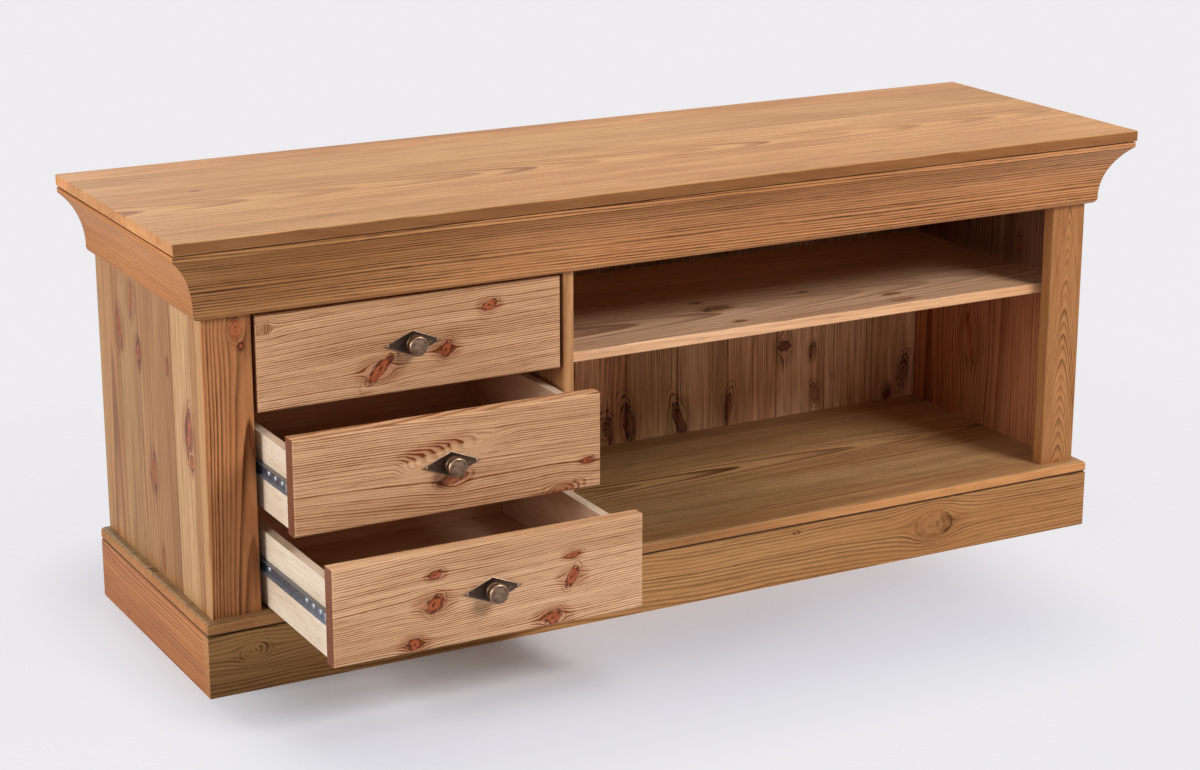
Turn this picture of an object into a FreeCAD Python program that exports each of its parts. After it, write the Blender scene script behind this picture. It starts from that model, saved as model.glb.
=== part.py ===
import FreeCAD, Part
import os
import re
import Sketcher

# A country style pine tv stand with three inset drawers on ball runners, an open bay with a shelf,
# a mitred cove crown under the top, and a plinth.
# Millimetres, +Z up, the front faces -Y. The origin is on the floor, in the middle of the plinth.

SIZES = {
    # Carcass
    "carcass_width": 1354,
    "carcass_depth": 400,
    "carcass_height": 486,
    "frame_thick": 20,
    "side_thick": 15,
    "divider_thick": 15,
    "stile_left_width": 66,
    "stile_right_width": 57,
    "bay_width": 434,
    "stile_round": 3,
    "arris_round": 1.5,
    "rail_back_height": 60,
    "batten_width": 22,
    # Top board
    "top_thick": 15,
    "top_lip_side": 1,
    "top_lip_front": 3,
    "top_arris": 1,
    # Crown moulding, measured out from the carcass and down from the top board
    "crown_height": 95,
    "crown_reach": 47,
    "crown_foot": 12,
    "crown_bead": 16,
    "crown_lip": 7,
    "crown_reveal": 2,
    "reveal_depth": 8,
    "cove_radius": 100,
    "bead_round": 9,
    # Plinth and floor panel
    "plinth_height": 84,
    "plinth_thick": 20,
    "plinth_step_side": 13,
    "plinth_step_front": 16,
    "plinth_chamfer": 2.5,
    "block_leg": 35,
    "block_height": 60,
    "floor_thick": 15,
    "floor_round": 5,
    "floor_under_round": 2.5,
    # Tongue and groove back
    "back_thick": 8,
    "back_recess": 2,
    "back_rebate": 7,
    "back_count": 15,
    "back_gap": 0.4,
    "back_vee": 1.5,
    "tongue_reach": 5,
    "tongue_thick": 3,
    "tongue_play": 0.2,
    # Shelf and its pins
    "shelf_rise": 256,
    "shelf_thick": 15,
    "shelf_setback": 30,
    "shelf_play": 1,
    "shelf_round": 2,
    "pin_radius": 2.5,
    "pin_sink": 8,
    "pin_stand": 8,
    "pin_inset": 60,
    "pin_play": 0.1,
    # Flat dowels between the floor panel and the uprights
    "dowel_width": 30,
    "dowel_thick": 6,
    "dowel_rise": 20,
    "dowel_play": 0.1,
    "dowel_inset": 50,
    "dowel_skin": 4,
    # Drawer fronts, and how far the two open drawers stand out
    "front_thick": 20,
    "front_floor_gap": 1.5,
    "front_gap": 4.5,
    "front_top_gap": 4,
    "front_side_gap": 4.5,
    "front_round": 3,
    "middle_out": 110,
    "lower_out": 222,
    # Drawer boxes
    "box_thick": 12,
    "box_rise": 2,
    "box_headroom": 23.5,
    "box_back_gap": 15,
    "ply_thick": 6,
    "ply_rise": 11,
    "groove_depth": 6,
    "groove_play": 0.2,
    # Ball runners: a lipped channel on the cabinet, a slider on the drawer and a ball cage between
    "runner_space": 10,
    "runner_rise": 57,
    "runner_height": 27,
    "runner_steel": 1.2,
    "runner_setback": 2,
    "runner_end_gap": 3,
    "runner_side_clear": 0.8,
    "lip_height": 1.1,
    "slider_depth": 6,
    "ball_radius": 1.6,
    "ball_across": 6,
    "ball_count": 3,
    "ball_pitch": 35,
    "ball_inset": 10,
    "run_clear": 0.3,
    "cage_steel": 0.8,
    "cage_start": 130,
    "packer_height": 40,
    # Knob, its diamond plate and its screw
    "knob_reach": 20,
    "knob_radius": 13.2,
    "knob_collar_radius": 11.8,
    "knob_collar_end": 8,
    "knob_groove_radius": 9.5,
    "knob_groove_end": 10.5,
    "knob_bevel": 1.2,
    "knob_bore_spare": 1,
    "plate_width": 84,
    "plate_height": 35,
    "plate_thick": 1.5,
    "plate_chamfer": 0.6,
    "screw_radius": 2,
    "screw_play": 0.3,
    "screw_head_radius": 4,
    "screw_head_height": 2.5,
    "screw_grip": 10,
}

PLACES = {
    # Across the stand
    "half_carcass": "carcass_width / 2",
    "half_plinth": "half_carcass + plinth_step_side",
    "half_top": "half_carcass + crown_reach + top_lip_side",
    "plinth_in": "half_plinth - plinth_thick",
    "half_mid_board": "plinth_thick / 2",
    "side_in": "half_carcass - side_thick",
    "side_mid": "half_carcass - side_thick / 2",
    "bay_left": "stile_left_width - half_carcass",
    "bay_right": "bay_left + bay_width",
    "bay_centre": "bay_left + bay_width / 2",
    "divider_right": "bay_right + divider_thick",
    "divider_mid": "bay_right + divider_thick / 2",
    "stile_right_in": "half_carcass - stile_right_width",
    "stile_left_mid": "stile_left_width / 2 - half_carcass",
    "stile_right_mid": "half_carcass - stile_right_width / 2",
    "back_half": "side_in + back_rebate",
    "batten_in": "side_in - batten_width",
    "crown_end": "half_carcass + crown_reach",
    "shelf_left": "divider_right + shelf_play",
    "shelf_right": "side_in - shelf_play",
    "pin_left_low": "divider_right - pin_sink",
    "pin_left_high": "divider_right + pin_stand",
    "pin_right_low": "side_in - pin_stand",
    "pin_right_high": "side_in + pin_sink",
    # Front to back
    "rear": "(carcass_depth + plinth_step_front) / 2",
    "face": "rear - carcass_depth",
    "frame_back": "face + frame_thick",
    "frame_mid": "face + frame_thick / 2",
    "top_front": "face - crown_reach - top_lip_front",
    "plinth_face_back": "plinth_thick - rear",
    "plinth_back_front": "rear - plinth_thick",
    "back_out": "rear - back_recess",
    "back_in": "back_out - back_thick",
    "rail_front": "back_in - frame_thick",
    "shelf_front": "face + shelf_setback",
    "shelf_back": "back_in - shelf_play",
    "pin_front": "shelf_front + pin_inset",
    "pin_rear": "shelf_back - pin_inset",
    "dowel_rear": "back_in - dowel_inset",
    "block_front": "plinth_face_back + block_leg",
    "block_back": "plinth_back_front - block_leg",
    "block_in": "plinth_in - block_leg",
    "block_mid": "half_mid_board + block_leg",
    # Upwards
    "block_low": "plinth_height - block_height",
    "floor_top": "plinth_height + floor_thick",
    "carcass_top": "floor_top + carcass_height",
    "top_surface": "carcass_top + top_thick",
    "crown_low": "carcass_top - crown_height",
    "rail_low": "carcass_top - rail_back_height",
    "batten_low": "carcass_top - batten_width",
    "shelf_low": "floor_top + shelf_rise",
    "shelf_top": "shelf_low + shelf_thick",
    "pin_level": "shelf_low - pin_radius",
    "dowel_low": "plinth_height + dowel_skin",
    "dowel_high": "floor_top + dowel_rise",
    # Crown profile
    "foot_front": "face - crown_foot",
    "lip_front": "face - crown_reach",
    "reveal_front": "face - crown_reach + reveal_depth",
    "foot_side": "half_carcass + crown_foot",
    "reveal_side": "crown_end - reveal_depth",
    "cove_low": "crown_low + crown_bead",
    "lip_top": "carcass_top - crown_reveal",
    "lip_low": "lip_top - crown_lip",
    # Back boards
    "back_pitch": "2 * back_half / back_count",
    "vee_in": "back_in + back_vee",
    "tongue_front": "back_in + (back_thick - tongue_thick) / 2",
    "tongue_back": "tongue_front + tongue_thick",
    "groove_front": "tongue_front - tongue_play",
    "groove_back": "tongue_back + tongue_play",
    "groove_end": "tongue_reach + 2 * tongue_play",
    "tongue_end": "back_pitch + tongue_reach",
    "vee_left": "back_gap + back_vee",
    "vee_right": "back_pitch - back_vee",
    # Drawer levels: each is the lower edge of a drawer front
    "front_height": "(crown_low - floor_top - front_floor_gap - 2 * front_gap - front_top_gap) / 3",
    "drawer_pitch": "front_height + front_gap",
    "lower_level": "floor_top + front_floor_gap",
    "middle_level": "lower_level + drawer_pitch",
    "upper_level": "middle_level + drawer_pitch",
    # Drawer box, across from the middle of the bay and up from the lower edge of the front
    "front_half": "bay_width / 2 - front_side_gap",
    "box_half": "bay_width / 2 - runner_space",
    "box_in": "box_half - box_thick",
    "groove_out": "box_in + groove_depth",
    "ply_half": "groove_out - groove_play",
    "front_back": "face + front_thick",
    "box_front_back": "front_back + box_thick",
    "box_groove": "box_front_back - groove_depth",
    "ply_front": "box_groove + groove_play",
    "box_end": "back_in - box_back_gap",
    "box_back_front": "box_end - box_thick",
    "box_top": "front_height - box_headroom",
    "ply_low": "box_rise + ply_rise",
    "ply_top": "ply_low + ply_thick",
    "groove_top": "ply_top + groove_play",
    "knob_level": "front_height / 2",
    # Runners, across from the middle of the bay and up from the middle of the runner
    "runner_front": "front_back + runner_setback",
    "runner_end": "box_end - runner_end_gap",
    "runner_out": "bay_width / 2",
    "runner_web": "runner_out - runner_steel",
    "runner_lip": "box_half + runner_side_clear",
    "runner_lip_in": "runner_lip + runner_steel",
    "runner_half": "runner_height / 2",
    "runner_race": "runner_half - runner_steel",
    "lip_end": "runner_race - lip_height",
    "ball_rise": "runner_race - run_clear - ball_radius",
    "slider_half": "ball_rise - ball_radius - run_clear",
    "slider_race": "slider_half - runner_steel",
    "slider_web": "box_half + runner_steel",
    "slider_out": "box_half + slider_depth",
    "cage_out": "runner_web - run_clear",
    "cage_web": "cage_out - cage_steel",
    "cage_edge": "runner_lip_in + run_clear",
    "cage_high": "ball_rise + cage_steel / 2",
    "cage_low": "ball_rise - cage_steel / 2",
    "cage_front": "runner_front + cage_start",
    "cage_end": "cage_front + 2 * ball_inset + ball_span",
    "ball_span": "ball_pitch * (ball_count - 1)",
    "ball_first": "cage_front + ball_inset",
    "ball_outer": "runner_out - ball_across + ball_radius",
    "ball_inner": "runner_out - ball_across - ball_radius",
    "ball_flat": "ball_radius / sqrt(3)",
    "ball_y1": "ball_first - 2 * ball_flat",
    "ball_y2": "ball_first - ball_flat",
    "ball_y3": "ball_first + ball_flat",
    "ball_y4": "ball_first + 2 * ball_flat",
    "ball_low": "ball_rise - ball_radius",
    "ball_high": "ball_rise + ball_radius",
    "packer_half": "packer_height / 2",
    "packer_lower": "lower_level + runner_rise",
    "packer_middle": "middle_level + runner_rise",
    "packer_upper": "upper_level + runner_rise",
    "packer_lower_low": "packer_lower - packer_half",
    "packer_lower_high": "packer_lower + packer_half",
    "packer_middle_low": "packer_middle - packer_half",
    "packer_middle_high": "packer_middle + packer_half",
    "packer_upper_low": "packer_upper - packer_half",
    "packer_upper_high": "packer_upper + packer_half",
    # Knob, out from the face of the drawer front along -Y
    "plate_half": "plate_width / 2",
    "plate_tip": "plate_height / 2",
    "plate_front": "face - plate_thick",
    "knob_collar": "plate_front - knob_collar_end",
    "knob_groove": "plate_front - knob_groove_end",
    "knob_face": "plate_front - knob_reach",
    "knob_rim": "knob_face + knob_bevel",
    "knob_face_radius": "knob_radius - knob_bevel",
    "bore_radius": "screw_radius + screw_play",
    "bore_end": "plate_front - screw_grip - knob_bore_spare",
    "screw_head": "box_front_back + screw_head_height",
    "screw_tip": "plate_front - screw_grip",
    # Holes for the flat dowels and the shelf pins
    "dowel_half": "dowel_width / 2",
    "dowel_half_thick": "dowel_thick / 2",
    "mortise_half": "dowel_half + dowel_play",
    "mortise_half_thick": "dowel_half_thick + dowel_play",
    "pin_hole": "pin_radius + pin_play",
}

# The level and the place, front to back, of each drawer
DRAWERS = {
    "upper": ("upper_level", "0"),
    "middle": ("middle_level", "-middle_out"),
    "lower": ("lower_level", "-lower_out"),
}

TOUCH = 0.01
nodes = {}

doc = FreeCAD.newDocument("tv_stand")
sizes = doc.addObject("Spreadsheet::Sheet", "Size")
places = doc.addObject("Spreadsheet::Sheet", "Place")


# Names and numbers

def linked(formula, inside_places=False):
    """The formula with each name tied to the sheet that holds it."""
    def owner(match):
        name = match.group(0)
        if name in SIZES:
            return f"Size.{name}"
        return f"Place.{name}" if name in PLACES and not inside_places else name
    return re.sub(r"[a-z][a-z_0-9]*", owner, formula)


def fill_sheets():
    for row, (name, size) in enumerate(SIZES.items(), 1):
        sizes.set(f"A{row}", name)
        sizes.set(f"B{row}", str(size))
        sizes.setAlias(f"B{row}", name)
    doc.recompute()
    for row, name in enumerate(PLACES, 1):
        places.set(f"A{row}", name)
        places.setAlias(f"B{row}", name)
    for row, formula in enumerate(PLACES.values(), 1):
        places.set(f"B{row}", "=" + linked(formula, inside_places=True))
    doc.recompute()


def number(name):
    """The present value of a named size or place, which may carry a minus sign."""
    if name == "0":
        return 0.0
    if name.startswith("-"):
        return -number(name[1:])
    return float(getattr(sizes if name in SIZES else places, name))


def near(first, second):
    return abs(first - second) < TOUCH


def flip(name, side):
    """The name as it is on the right side, or with its sign turned on the left."""
    if side > 0 or name == "0":
        return name
    return name[1:] if name.startswith("-") else "-" + name


# Sketches

def origin_part(body, role):
    return next(item for item in body.Origin.OriginFeatures if item.Role == role)


def sketch_on(body, role, at, shift=("0", "0")):
    """A sketch on one of the body's own planes, moved along its normal, and shifted in the plane."""
    sketch = body.newObject("Sketcher::SketchObject", body.Name + "_sketch")
    sketch.AttachmentSupport = [(origin_part(body, role), "")]
    sketch.MapMode = "FlatFace"
    sign = "-" if role == "XZ_Plane" else ""
    for axis, offset in zip("xyz", (*shift, f"{sign}({at})")):
        if offset != "0":
            sketch.setExpression(f"AttachmentOffset.Base.{axis}", linked(offset))
    return sketch


def hold(sketch, kind, geometry, point, name):
    """Ties one coordinate of a sketch point to its named value."""
    if name == "0":
        axis = -2 if kind == "DistanceX" else -1
        sketch.addConstraint(Sketcher.Constraint("PointOnObject", geometry, point, axis))
        return
    index = sketch.addConstraint(Sketcher.Constraint(kind, -1, 1, geometry, point, number(name)))
    sketch.setExpression(f"Constraints[{index}]", linked(name))


def arc_between(start, end, radius, turn):
    """An arc from start to end. turn is 1 where it runs counterclockwise and -1 where clockwise."""
    chord = end - start
    across = FreeCAD.Vector(-chord.y * turn, chord.x * turn, 0).normalize()
    rise = (radius ** 2 - (chord.Length / 2) ** 2) ** 0.5
    circle = Part.Circle(start + chord * 0.5 + across * rise, FreeCAD.Vector(0, 0, 1), radius)
    first, last = (start, end) if turn > 0 else (end, start)
    return Part.ArcOfCircle(circle, circle.parameter(first), circle.parameter(last))


def draw_outline(sketch, corners, arcs):
    """A closed outline through named corners. arcs gives the radius and turn of a side that is an arc."""
    points = [FreeCAD.Vector(number(across), number(up), 0) for across, up in corners]
    ends = []
    for index, point in enumerate(points):
        following = points[(index + 1) % len(points)]
        if index not in arcs:
            geometry = sketch.addGeometry(Part.LineSegment(point, following))
            ends.append((geometry, 1, 2))
            continue
        radius, turn = arcs[index]
        geometry = sketch.addGeometry(arc_between(point, following, number(radius), turn))
        held = sketch.addConstraint(Sketcher.Constraint("Radius", geometry, number(radius)))
        sketch.setExpression(f"Constraints[{held}]", linked(radius))
        ends.append((geometry, 1, 2) if turn > 0 else (geometry, 2, 1))
    for index, (geometry, first, last) in enumerate(ends):
        after, after_first = ends[(index + 1) % len(ends)][:2]
        sketch.addConstraint(Sketcher.Constraint("Coincident", geometry, last, after, after_first))
        hold(sketch, "DistanceX", geometry, first, corners[index][0])
        hold(sketch, "DistanceY", geometry, first, corners[index][1])


def draw_circle(sketch, across, up, radius):
    centre = FreeCAD.Vector(number(across), number(up), 0)
    circle = Part.Circle(centre, FreeCAD.Vector(0, 0, 1), number(radius))
    geometry = sketch.addGeometry(circle)
    hold(sketch, "DistanceX", geometry, 3, across)
    hold(sketch, "DistanceY", geometry, 3, up)
    index = sketch.addConstraint(Sketcher.Constraint("Radius", geometry, number(radius)))
    sketch.setExpression(f"Constraints[{index}]", linked(radius))


def draw(sketch, outlines, circles, arcs):
    for corners in outlines:
        draw_outline(sketch, corners, arcs)
    for across, up, radius in circles:
        draw_circle(sketch, across, up, radius)


def rectangle(left, right, low, high):
    return [(left, low), (right, low), (right, high), (left, high)]


# Features

def new_body(label):
    body = doc.addObject("PartDesign::Body", label)
    body.Label = label
    body.AllowCompound = True
    nodes[label] = body
    return body


def pad(body, role, low, high, outlines=(), circles=(), arcs=None, shift=("0", "0")):
    """Adds the outlines to the body, from low to high along the plane's row axis."""
    sketch = sketch_on(body, role, high if role == "XZ_Plane" else low, shift)
    draw(sketch, outlines, circles, arcs or {})
    feature = body.newObject("PartDesign::Pad", body.Name + "_pad")
    feature.Profile = sketch
    feature.setExpression("Length", linked(f"({high}) - ({low})"))
    doc.recompute()
    return feature


def pocket(body, role, low, high, outlines=(), circles=(), shift=("0", "0")):
    """Cuts the outlines out of the body, from low to high along the plane's row axis."""
    before = body.Tip.Shape.Volume
    sketch = sketch_on(body, role, low if role == "XZ_Plane" else high, shift)
    draw(sketch, outlines, circles, {})
    feature = body.newObject("PartDesign::Pocket", body.Name + "_pocket")
    feature.Profile = sketch
    feature.setExpression("Length", linked(f"({high}) - ({low})"))
    doc.recompute()
    if body.Tip.Shape.Volume > before - TOUCH:
        raise ValueError(f"{body.Label}: a pocket cuts nothing")
    return feature


def revolve(body, corners):
    """Turns an outline of radius and depth about the body's Y axis."""
    sketch = sketch_on(body, "XY_Plane", "0")
    draw_outline(sketch, corners, {})
    feature = body.newObject("PartDesign::Revolution", body.Name + "_turn")
    feature.Profile = sketch
    feature.ReferenceAxis = (sketch, ["V_Axis"])
    feature.Angle = 360
    doc.recompute()
    return feature


def repeat(body, feature, axis, spacing, count):
    """Repeats one feature along an axis of the body."""
    pattern = body.newObject("PartDesign::LinearPattern", body.Name + "_row")
    pattern.Originals = [feature]
    pattern.Direction = (origin_part(body, axis), [""])
    pattern.setExpression("Length", linked(f"({spacing}) * ({count} - 1)"))
    pattern.setExpression("Occurrences", linked(count))
    body.Tip = pattern
    doc.recompute()
    return pattern


def mirror_across(body):
    """Adds the other hand of the whole body, on the far side of its YZ plane."""
    mirror = body.newObject("PartDesign::Mirrored", body.Name + "_mirror")
    mirror.TransformMode = "Whole shape"
    mirror.MirrorPlane = (origin_part(body, "YZ_Plane"), [""])
    body.Tip = mirror
    doc.recompute()
    return mirror


def soften(body, kind, size, wanted):
    """Rounds or chamfers the edges whose middle passes the test."""
    base = body.Tip
    names = [f"Edge{i}" for i, edge in enumerate(base.Shape.Edges, 1) if wanted(edge.CenterOfMass)]
    if not names:
        raise ValueError(f"{body.Label}: no edge to soften")
    feature = body.newObject("PartDesign::" + kind, f"{body.Name}_{kind}")
    feature.Base = (base, names)
    feature.setExpression("Radius" if kind == "Fillet" else "Size", linked(size))
    doc.recompute()
    return feature


def place(body, x="0", y="0", z="0"):
    for axis, formula in zip("xyz", (x, y, z)):
        if formula != "0":
            body.setExpression(f"Placement.Base.{axis}", linked(formula))


def board(label, left, right, front, back, low, high):
    """A plain board between six named places."""
    body = new_body(label)
    pad(body, "XY_Plane", low, high, [rectangle(left, right, front, back)])
    return body


# Plinth and floor panel

def build_plinth():
    front = board("plinth_front", "-half_plinth", "half_plinth", "-rear", "plinth_face_back",
                  "0", "plinth_height")
    inner_y = number("plinth_face_back")
    soften(front, "Chamfer", "plinth_chamfer",
           lambda p: near(p.z, number("plinth_height")) and not near(p.y, inner_y))
    for label, side in (("plinth_left", -1), ("plinth_right", 1)):
        edges = sorted((flip("half_plinth", side), flip("plinth_in", side)), key=number)
        body = board(label, *edges, "plinth_face_back", "rear", "0", "plinth_height")
        outer_x = side * number("half_plinth")
        soften(body, "Chamfer", "plinth_chamfer",
               lambda p: near(p.z, number("plinth_height")) and near(p.x, outer_x))
    board("plinth_back", "-plinth_in", "plinth_in", "plinth_back_front", "rear", "0", "plinth_height")
    board("plinth_mid", "-half_mid_board", "half_mid_board", "plinth_face_back", "plinth_back_front",
          "0", "plinth_height")
    blocks = new_body("plinth_blocks")
    corners = []
    for side in (-1, 1):
        for wall, leg in (("plinth_face_back", "block_front"), ("plinth_back_front", "block_back")):
            outer = flip("plinth_in", side)
            corners.append([(outer, wall), (flip("block_in", side), wall), (outer, leg)])
            middle = flip("half_mid_board", side)
            corners.append([(middle, wall), (flip("block_mid", side), wall), (middle, leg)])
    pad(blocks, "XY_Plane", "block_low", "plinth_height", corners)


# The place of each flat dowel, and whether it lies across the stand
DOWELS = {
    ("stile_left_mid", "frame_mid"): True,
    ("stile_right_mid", "frame_mid"): True,
    ("-side_mid", "dowel_rear"): False,
    ("side_mid", "dowel_rear"): False,
    ("divider_mid", "dowel_rear"): False,
}

PIN_HOLES = [("pin_front", "pin_level", "pin_hole"), ("pin_rear", "pin_level", "pin_hole")]


def dowel_section(half, half_thick, across):
    """The plan of a flat dowel or its mortise, about its own middle."""
    reach_x, reach_y = (half, half_thick) if across else (half_thick, half)
    return rectangle(flip(reach_x, -1), reach_x, flip(reach_y, -1), reach_y)


def mortises(body, low, high, wanted):
    """Mortises for the flat dowels that stand at the wanted places across the stand."""
    for spot, across in DOWELS.items():
        if spot[0] in wanted:
            section = dowel_section("mortise_half", "mortise_half_thick", across)
            pocket(body, "XY_Plane", low, high, [section], shift=spot)


def build_floor():
    body = board("bottom_panel", "-half_plinth", "half_plinth", "-rear", "rear",
                 "plinth_height", "floor_top")
    rear_y = number("rear")
    top_z = number("floor_top")
    soften(body, "Fillet", "floor_round", lambda p: near(p.z, top_z) and not near(p.y, rear_y))
    soften(body, "Fillet", "floor_under_round",
           lambda p: near(p.z, number("plinth_height")) and not near(p.y, rear_y))
    mortises(body, "dowel_low", "floor_top", {x for x, y in DOWELS})
    dowels = new_body("carcass_dowels")
    for spot, across in DOWELS.items():
        section = dowel_section("dowel_half", "dowel_half_thick", across)
        pad(dowels, "XY_Plane", "dowel_low", "dowel_high", [section], shift=spot)


# Carcass

def upright_edge(x, y):
    """A test for the upright edge that stands at x and y."""
    return lambda p: near(p.x, x) and near(p.y, y)


def build_frame():
    face_y = number("face")
    stiles = (("stile_left", "-half_carcass", "bay_left", "stile_left_mid", -1),
              ("stile_right", "stile_right_in", "half_carcass", "stile_right_mid", 1))
    for label, left, right, middle, side in stiles:
        body = board(label, left, right, "face", "frame_back", "floor_top", "carcass_top")
        outer, inner = (left, right) if side < 0 else (right, left)
        soften(body, "Fillet", "stile_round", upright_edge(number(outer), face_y))
        soften(body, "Fillet", "arris_round", upright_edge(number(inner), face_y))
        mortises(body, "floor_top", "dowel_high", {middle})
    board("top_rail_front", "bay_left", "stile_right_in", "face", "frame_back", "crown_low", "carcass_top")
    board("top_rail_back", "-side_in", "side_in", "rail_front", "back_in", "rail_low", "carcass_top")
    battens = new_body("top_battens")
    pad(battens, "XY_Plane", "batten_low", "carcass_top",
        [rectangle("-side_in", "-batten_in", "frame_back", "rail_front"),
         rectangle("batten_in", "side_in", "frame_back", "rail_front")])


def build_sides():
    for label, side in (("side_panel_left", -1), ("side_panel_right", 1)):
        body = new_body(label)
        plan = [("half_carcass", "frame_back"), ("half_carcass", "rear"), ("back_half", "rear"),
                ("back_half", "back_in"), ("side_in", "back_in"), ("side_in", "frame_back")]
        pad(body, "XY_Plane", "floor_top", "carcass_top", [[(flip(x, side), y) for x, y in plan]])
        mortises(body, "floor_top", "dowel_high", {flip("side_mid", side)})
    pocket(nodes["side_panel_right"], "YZ_Plane", "side_in", "pin_right_high", circles=PIN_HOLES)


def build_divider():
    body = new_body("divider")
    elevation = [("face", "floor_top"), ("back_in", "floor_top"), ("back_in", "rail_low"),
                 ("rail_front", "rail_low"), ("rail_front", "carcass_top"), ("frame_back", "carcass_top"),
                 ("frame_back", "crown_low"), ("face", "crown_low")]
    pad(body, "YZ_Plane", "bay_right", "divider_right", [elevation])
    face_y = number("face")
    height = number("crown_low") - number("floor_top")
    middle_z = number("floor_top") + height / 2
    soften(body, "Fillet", "arris_round", lambda p: near(p.y, face_y) and near(p.z, middle_z))
    mortises(body, "floor_top", "dowel_high", {"divider_mid"})
    pocket(body, "YZ_Plane", "pin_left_low", "divider_right", circles=PIN_HOLES)


def build_shelf():
    body = board("shelf", "shelf_left", "shelf_right", "shelf_front", "shelf_back", "shelf_low", "shelf_top")
    front_y = number("shelf_front")
    middle_z = (number("shelf_low") + number("shelf_top")) / 2
    soften(body, "Fillet", "shelf_round", lambda p: near(p.y, front_y) and not near(p.z, middle_z))
    pins = new_body("shelf_pins")
    circles = [("pin_front", "pin_level", "pin_radius"), ("pin_rear", "pin_level", "pin_radius")]
    pad(pins, "YZ_Plane", "pin_left_low", "pin_left_high", circles=circles)
    pad(pins, "YZ_Plane", "pin_right_low", "pin_right_high", circles=circles)


def back_board(left_groove, right_tongue):
    """The plan of one board whose left edge is at the body's own x = 0."""
    corners = [("back_gap", "vee_in"), ("vee_left", "back_in"), ("vee_right", "back_in"),
               ("back_pitch", "vee_in")]
    if right_tongue:
        corners += [("back_pitch", "tongue_front"), ("tongue_end", "tongue_front"),
                    ("tongue_end", "tongue_back"), ("back_pitch", "tongue_back")]
    corners += [("back_pitch", "back_out"), ("back_gap", "back_out")]
    if left_groove:
        corners += [("back_gap", "groove_back"), ("groove_end", "groove_back"),
                    ("groove_end", "groove_front"), ("back_gap", "groove_front")]
    return corners


def build_back():
    boards = new_body("back_boards")
    pad(boards, "XY_Plane", "floor_top", "carcass_top", [back_board(False, True)])
    place(boards, x="-back_half")
    middle = pad(boards, "XY_Plane", "floor_top", "carcass_top", [back_board(True, True)],
                 shift=("back_pitch", "0"))
    repeat(boards, middle, "X_Axis", "back_pitch", "back_count - 2")
    pad(boards, "XY_Plane", "floor_top", "carcass_top", [back_board(True, False)],
        shift=("back_pitch * (back_count - 1)", "0"))


# Top and crown

def build_top():
    body = board("top_panel", "-half_top", "half_top", "top_front", "rear", "carcass_top", "top_surface")
    rear_y = number("rear")
    soften(body, "Chamfer", "top_arris", lambda p: not near(p.y, rear_y))


def crown_profile(wall, foot, lip, reveal):
    """The cove section, out from the carcass. The side after its fourth corner is the cove."""
    return [(wall, "carcass_top"), (wall, "crown_low"), (foot, "crown_low"), (foot, "cove_low"),
            (lip, "lip_low"), (lip, "lip_top"), (reveal, "lip_top"), (reveal, "carcass_top")]


COVE_SIDE = 3


def build_crown():
    low_z = number("crown_low")
    foot_y = number("foot_front")
    front = new_body("crown_front")
    profile = crown_profile("face", "foot_front", "lip_front", "reveal_front")
    pad(front, "YZ_Plane", "-crown_end", "crown_end", [profile], arcs={COVE_SIDE: ("cove_radius", 1)})
    soften(front, "Fillet", "bead_round", lambda p: near(p.z, low_z) and near(p.y, foot_y))
    mitres = [[(flip("half_carcass", side), "face"), (flip("crown_end", side), "lip_front"),
               (flip("crown_end", side), "face")] for side in (-1, 1)]
    pocket(front, "XY_Plane", "crown_low", "carcass_top", mitres)
    for label, side in (("crown_left", -1), ("crown_right", 1)):
        wall, foot, lip, reveal = (flip(name, side) for name in
                                   ("half_carcass", "foot_side", "crown_end", "reveal_side"))
        foot_x = number(foot)
        body = new_body(label)
        pad(body, "XZ_Plane", "lip_front", "rear", [crown_profile(wall, foot, lip, reveal)],
            arcs={COVE_SIDE: ("cove_radius", -side)})
        soften(body, "Fillet", "bead_round", lambda p: near(p.z, low_z) and near(p.x, foot_x))
        mitre = [(wall, "face"), (lip, "lip_front"), (wall, "lip_front")]
        pocket(body, "XY_Plane", "crown_low", "carcass_top", [mitre])


# Runners, drawn on the right side of the bay and mirrored to the left

def both_ways(corners):
    """The corners above the middle of a section, and the same ones below it, in turn."""
    return corners + [(across, flip(up, -1)) for across, up in reversed(corners)]


def build_cabinet_runners():
    packers = new_body("runner_packers")
    pad(packers, "XZ_Plane", "frame_back", "runner_end",
        [rectangle("-side_in", "bay_left", f"packer_{name}_low", f"packer_{name}_high") for name in DRAWERS])
    runners = new_body("cabinet_runners")
    section = both_ways([("runner_web", "runner_race"), ("runner_lip_in", "runner_race"),
                         ("runner_lip_in", "lip_end"), ("runner_lip", "lip_end"),
                         ("runner_lip", "runner_half"), ("runner_out", "runner_half")])
    channel = pad(runners, "XZ_Plane", "runner_front", "runner_end", [section])
    repeat(runners, channel, "Z_Axis", "drawer_pitch", str(len(DRAWERS)))
    mirror_across(runners)
    place(runners, x="bay_centre", z="lower_level + runner_rise")


def build_drawer_runners(name, level, out):
    sliders = new_body(f"drawer_{name}_runners")
    section = both_ways([("slider_web", "slider_race"), ("slider_out", "slider_race"),
                         ("slider_out", "slider_half"), ("box_half", "slider_half")])
    pad(sliders, "XZ_Plane", "runner_front", "runner_end", [section])
    mirror_across(sliders)
    place(sliders, "bay_centre", out, f"{level} + runner_rise")


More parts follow.
